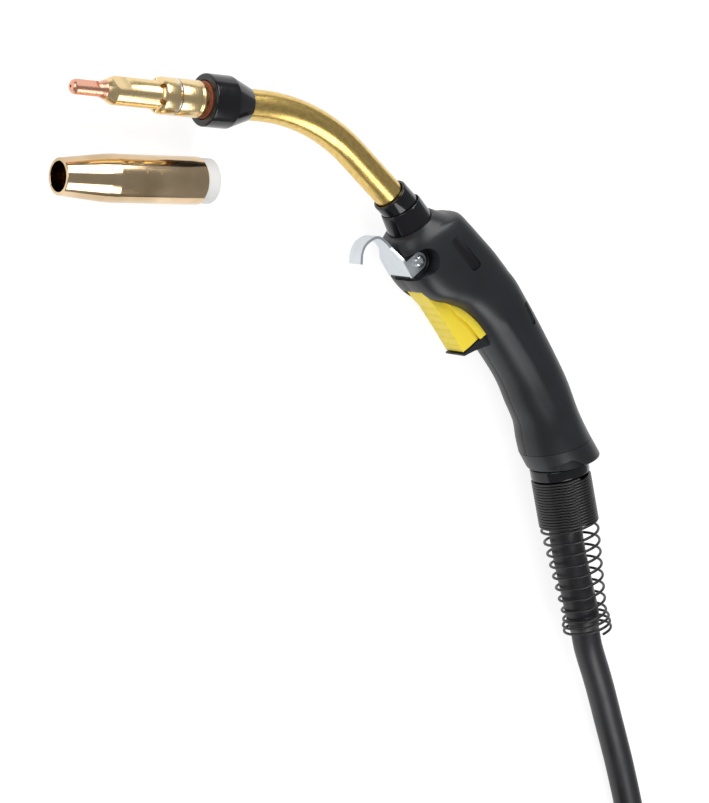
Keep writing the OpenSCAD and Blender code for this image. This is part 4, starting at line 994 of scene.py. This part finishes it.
class TORCH_OT_hook(bpy.types.Operator):
    """Builds the bent hook strip with its two ears, and the ear screws"""

    bl_idname = "torch.hook"
    bl_label = "Hook"

    def execute(self, context):
        path = curve_through([(u, v + HOOK_V) for u, v in HOOK_POINTS], 14)
        verts, columns = [], 13
        for i, p in enumerate(path):
            a, b = Vector(path[max(i - 1, 0)]), Vector(path[min(i + 1, len(path) - 1)])
            t = (b - a).normalized()
            wide = hook_half_width(p[0]) - EPS
            for side in (1, -1):
                for k in range(columns):
                    w = wide * (2 * k / (columns - 1) - 1)
                    verts.append((p[0] - side * HOOK_T / 2 * t.y, p[1] + side * HOOK_T / 2 * t.x, w))
        row = 2 * columns
        faces = []
        for i in range(len(path) - 1):
            for k in range(columns - 1):
                a, b = i * row + k, (i + 1) * row + k
                faces.append([a, b, b + 1, a + 1])
                faces.append([a + columns, a + columns + 1, b + columns + 1, b + columns])
            for k in (0, columns - 1):
                a, b = i * row + k, (i + 1) * row + k
                faces.append([a, a + columns, b + columns, b])
        for i in (0, len(path) - 1):
            faces += [[i * row + k, i * row + k + 1, i * row + k + 1 + columns, i * row + k + columns]
                      for k in range(columns - 1)]
        strip = put("hook", verts, faces, HANDLE, None, 40)
        ears, ear_r = [], 4.9
        for side in (1, -1):
            outline = [add(PIVOT, (ear_r * cos(a), ear_r * sin(a))) for a in range(0, 181, 6)]
            outline += [(PIVOT[0] + x, HOOK_V - HOOK_T / 2 + EPS) for x in (-ear_r, ear_r)]
            here = mirrored(side)
            ear = slab("ear", outline, HOOK_HALF - HOOK_T, HOOK_HALF - 2 * EPS, here)
            ears.append(merge(ear, [bar(1.55, 5, 14, here @ move(*PIVOT, 0), 32)]))
        joined([strip, *ears], 35)
        soften(strip, 0.3, 3)
        give(strip, zinc(), "hook")

        screws = []
        for side in (1, -1):
            seat = mirrored(side) @ move(*PIVOT, HOOK_HALF)
            screw = lathe("hook_screws", [
                (0, -7), (1.5, -7), (1.5, 0), (3.2, 0), (3.2, 0.8), (2.9, 1.25), (2.2, 1.55), (1.2, 1.7),
                (0, 1.72),
            ], seat, 64, 0.15)
            cross = [block((-1.7, -0.4, 0.75), (3.4, 0.8, 3), seat @ turn(a)) for a in (25, 115)]
            screws.append(merge(screw, cross))
        give(joined(screws), steel(), "hook_screws")
        return {"FINISHED"}


# ---- trigger

LEVER_HALF = 7.7


class TORCH_OT_trigger(bpy.types.Operator):
    """Builds the yellow trigger lever and its housing, and finishes the pin and the switch"""

    bl_idname = "torch.trigger"
    bl_label = "Trigger"

    def execute(self, context):
        pad = []
        for k in range(6):
            u = 56.5 + 5.4 * k
            v = -15.9 + 1.5 * math.sin(math.pi * (u - 54.7) / 68)
            pad += [(u, v), (u + 0.5, v + 0.28), (u + 1.0, v)]
        outline = [(43.9, -18.2), (49, -17.4), (54.7, -16.2), *pad, (89, -14.2), (89.3, -8), (89.2, -1.6),
                   (80, -2.4), (72, -3.6), (60, -5.6), (50, -7.8), (45, -9), (43.8, -12)]
        lever = slab("trigger_lever", outline, -LEVER_HALF, LEVER_HALF, HANDLE, 0.5, 3)
        hollow = slab("cutter", [(52.5, -12.3), (67.6, -11.8), (86.8, -12.2), (86.8, 5), (52.5, 5)],
                      -LEVER_HALF + 1.6, LEVER_HALF - 1.6, HANDLE)
        hole = bar(1.55, -10, 10, HANDLE @ move(*TRIGGER_PIN, 0))
        merge(lever, [hollow, hole], sharp=30)
        joined([lever, bar(2.4, -13, -8.6, HANDLE @ move(73, 0, 0) @ turn(-90, "X"))], 30)
        give(lever, yellow(), "trigger_lever", "trigger")

        side = [(57, -9.5), (59.7, -8.6), (67.6, -7.4), (77.1, -3.6), (89.4, -1.5), (89.4, 4.2), (57, 4.2)]
        top = [(57, 2.8), (89.4, 2.8), (89.4, 4.2), (57, 4.2)]
        housing = slab("trigger_housing", fillet(top, 0.2), -9.6, 9.6, HANDLE)
        parts = [slab("side", fillet(side, 0.5), low, low + 1.6, HANDLE, 0.2) for low in (8.0, -9.6)]
        parts += [block((64, -1.5, low), (20, 4.5, 1.4), HANDLE) for low in (3.25, -4.65)]
        joined([housing, *parts])
        merge(housing, [bar(1.05, -12, 9.1, HANDLE @ move(u, 0.7, 0), 24) for u in (67.5, 80.5)])
        give(housing, yellow(), "trigger_housing")

        way = [(0, 0), (0, 2), (0.18, 3.3), (0.44, 3.9), (0.7, 4.9), (0.88, 6.6), (1, 7.7)]
        leads = []
        for start, apart in ((82.5, 0.9), (78.5, -0.9)):
            path = [(start + t * (99.4 - start), 4.22 + rise, apart * min(max(i - 1, 0), 3))
                    for i, (t, rise) in enumerate(way)]
            leads.append(sweep("trigger_leads", curve_through(path, 4), 0.8, 12, HANDLE))
        give(joined(leads), button_red(), "trigger_leads")
        keep(("trigger_pin", "switch_screws"), steel(), 0.1)
        keep(("trigger_switch",), gloss_black(), 0.2)
        keep(("switch_button",), button_red(), 0.1)
        return {"FINISHED"}


# ---- cable support


class TORCH_OT_cable_support(bpy.types.Operator):
    """Builds the support nut, the wound spring and the cable that they hold"""

    bl_idname = "torch.cable_support"
    bl_label = "Cable Support"

    def execute(self, context):
        nut = lathe("support_nut", [
            (8.8, 1), (12, 1), (12, RING_LEN + 0.05), (16.6, RING_LEN + 0.05), (17.2, RING_LEN + 0.7),
            (17.2, 18.4), (16.6, 19.1), (14.1, 19.1), (14.1, NUT_TO - 1), (13.1, NUT_TO), (8.8, NUT_TO),
        ], REAR, 96, 0.4)
        give(nut, gloss_black(), "support_nut")

        s = sizes()
        wire = s.spring_wire / 2 / MM
        t1, t2 = s.spring_close_turns, s.spring_close_turns + s.spring_open_turns
        total = t2 + 3
        close_len, open_len, end_len = SPRING_LENGTHS
        wide, waist, end_wide = SPRING_DIAMETERS
        path = []
        for k in range(total * 40 + 1):
            t = k / 40
            width = wide + (waist - wide) * ramp(t, t1, t2) + (end_wide - waist) * ramp(t, t2, t2 + 1)
            r = width / 2 - wire
            z = SPRING_FROM + wire + close_len * ramp(t, 0, t1) + open_len * ramp(t, t1, t2)
            z += (end_len - 2 * wire) * ramp(t, t2, total)
            a = 2 * math.pi * t
            path.append((-r * math.cos(a), -r * math.sin(a), z))
        spring = sweep("cable_support_spring", path, wire, 14, REAR)
        give(spring, spring_black(), "cable_support_spring")

        cable_r = s.cable_diameter / 2 / MM - CABLE_SKIN
        held = [(u, v, 0, cable_r) for u, v in CORE_POINTS]
        for at in (0, 14, 28, NUT_TO, 45.1, 57.1, 69.1, 81.1, 93.1, 105.1, SPRING_TO - 3, SPRING_TO):
            swell = smooth_step(at, NUT_TO, 50) * (1 - smooth_step(at, SPRING_TO - 12, SPRING_TO))
            u, v = add(REAR_AT, turned((at, -SWELL * swell), -REAR_ANGLE))
            held.append((u, v, SWELL_LIFT * swell - core_drop(at), cable_r + SWELL * swell))
        held = curve_through(held, 4)
        core = sweep("cable_core", [p[:3] for p in held], [p[3] for p in held], 40, HANDLE)
        give(core, rubber(), "cable_core")
        return {"FINISHED"}


# ---- nozzle


class TORCH_OT_nozzle(bpy.types.Operator):
    """Builds the polished nozzle with its crimp marks, and its white insulator"""

    bl_idname = "torch.nozzle"
    bl_label = "Nozzle"

    def execute(self, context):
        r = sizes().nozzle_diameter / 2 / MM
        taper, length, mouth = 28.0, 84.0, 7.95
        shell = lathe("nozzle_shell", [
            (mouth, 0), (mouth + 1.35, 0), (mouth + 1.75, 0.4), (r - 0.35, taper - 3), (r, taper + 3),
            (r, length - 0.5), (r - 0.5, length), (r - 1.2, length), (r - 1.2, taper + 6), (mouth, taper - 8),
        ], NOZZLE, 128, 0.35, 3)
        marks = []
        for z in (46, 54.5):
            for a in (118, 160, 238, 285):
                spot = NOZZLE @ turn(a) @ move(r + 1.35, 0, z)
                marks.append(lathe("cutter", [(0, -1.1), (0.9, -0.9), (1.6, 0), (0.9, 0.9), (0, 1.1)],
                                   spot @ Matrix.Diagonal((1, 2.2, 0.55, 1)), 24))
        merge(shell, marks)
        give(shell, nozzle_brass(), "nozzle_shell", "nozzle")
        insulator = lathe("nozzle_insulator", [
            (10.05, length - 46), (r - 1.25, length - 46), (r - 1.25, length), (r - 0.7, length),
            (r - 0.7, length + 7.3), (r - 1.2, length + 7.8), (10.05, length + 7.8),
        ], NOZZLE, 96, 0.4)
        give(insulator, white_ceramic(), "nozzle_insulator", "nozzle")
        return {"FINISHED"}


# ---- connector and inner pieces


class TORCH_OT_connector(bpy.types.Operator):
    """Finishes the central connector at the far end of the cable"""

    bl_idname = "torch.connector"
    bl_label = "Connector"

    def execute(self, context):
        boot = lathe("plug_boot", [
            (6.1, 0), (10.5, 0), (11.1, 0.6), (12.7, 35), (13, 38.2), (14.5, 38.2), (14.5, 41), (13, 41),
            (13, 44), (6.1, 44),
        ], PLUG, 96, 0.3)
        give(boot, rubber(), "plug_boot")
        o_ring = lathe("plug_o_ring", [
            (5.75 + cos(a), 114.2 + sin(a)) for a in range(0, 360, 20)
        ], PLUG, 64)
        give(o_ring, rubber(), "plug_o_ring")
        keep(("plug_left_shell", "plug_right_shell"), handle_black(), 0.3)
        keep(("plug_screws", "wire_guide"), steel(), 0.1)
        keep(("plug_core", "current_pin", "control_pins"), plain_brass(), 0.15)
        keep(("pin_sockets",), white_ceramic(), 0.1)
        keep(("adaptor_nut",), handle_black(), 0.3)
        return {"FINISHED"}


class TORCH_OT_inner_pieces(bpy.types.Operator):
    """Finishes the pieces inside the neck and the handle"""

    bl_idname = "torch.inner_pieces"
    bl_label = "Inner Pieces"

    def execute(self, context):
        keep(("gooseneck_conductor",), copper(), 0)
        keep(("gooseneck_insulation",), white_ceramic(), 0)
        keep(("wire_liner",), steel(), 0)
        keep(("neck_block", "cable_nut"), plain_brass(), 0.15)
        hose = sweep("conductor_hose", curve_through([
            (32.02, 0, 0), (34.52, 0, 0), (38, 0.9, 0), (42, 2.8, 0), (47, 6.2, 0), (52, 9.6, 0), (57, 12.2, 0),
            (64, 14.4, 0), (72, 15.8, 0), (80, 16.9, 0), (90, 18.2, 0), (99.7, 19.4, 0),
        ], 3), 5.45, 32, HANDLE)
        give(hose, rubber(), "conductor_hose")
        return {"FINISHED"}


# ---- panel and main

STEPS = ("stage", "connector", "cable", "contact_tip", "diffuser", "neck", "handle", "end_ring", "hook",
         "trigger", "cable_support", "nozzle", "inner_pieces")


class TORCH_PT_panel(bpy.types.Panel):
    """The torch's sizes, colours and pieces"""

    bl_idname = "TORCH_PT_panel"
    bl_label = "MIG Welding Torch"
    bl_space_type = "VIEW_3D"
    bl_region_type = "UI"
    bl_category = "Torch"

    def draw(self, context):
        for group in (context.scene.torch_sizes, context.scene.torch_colours):
            box = self.layout.box()
            for name in group.__annotations__:
                box.prop(group, name)
        for step in STEPS:
            self.layout.operator("torch." + step)


CLASSES = (
    TorchSizes, TorchColours, TORCH_OT_stage, TORCH_OT_cable, TORCH_OT_contact_tip, TORCH_OT_diffuser,
    TORCH_OT_neck, TORCH_OT_handle, TORCH_OT_end_ring, TORCH_OT_hook, TORCH_OT_trigger, TORCH_OT_cable_support,
    TORCH_OT_nozzle, TORCH_OT_connector, TORCH_OT_inner_pieces, TORCH_PT_panel,
)


def register():
    for cls in CLASSES:
        bpy.utils.register_class(cls)
    bpy.types.Scene.torch_sizes = PointerProperty(type=TorchSizes)
    bpy.types.Scene.torch_colours = PointerProperty(type=TorchColours)


def unregister():
    del bpy.types.Scene.torch_colours
    del bpy.types.Scene.torch_sizes
    for cls in reversed(CLASSES):
        bpy.utils.unregister_class(cls)


def main():
    register()
    for step in STEPS:
        getattr(bpy.ops.torch, step)()


if __name__ == "__main__":
    main()
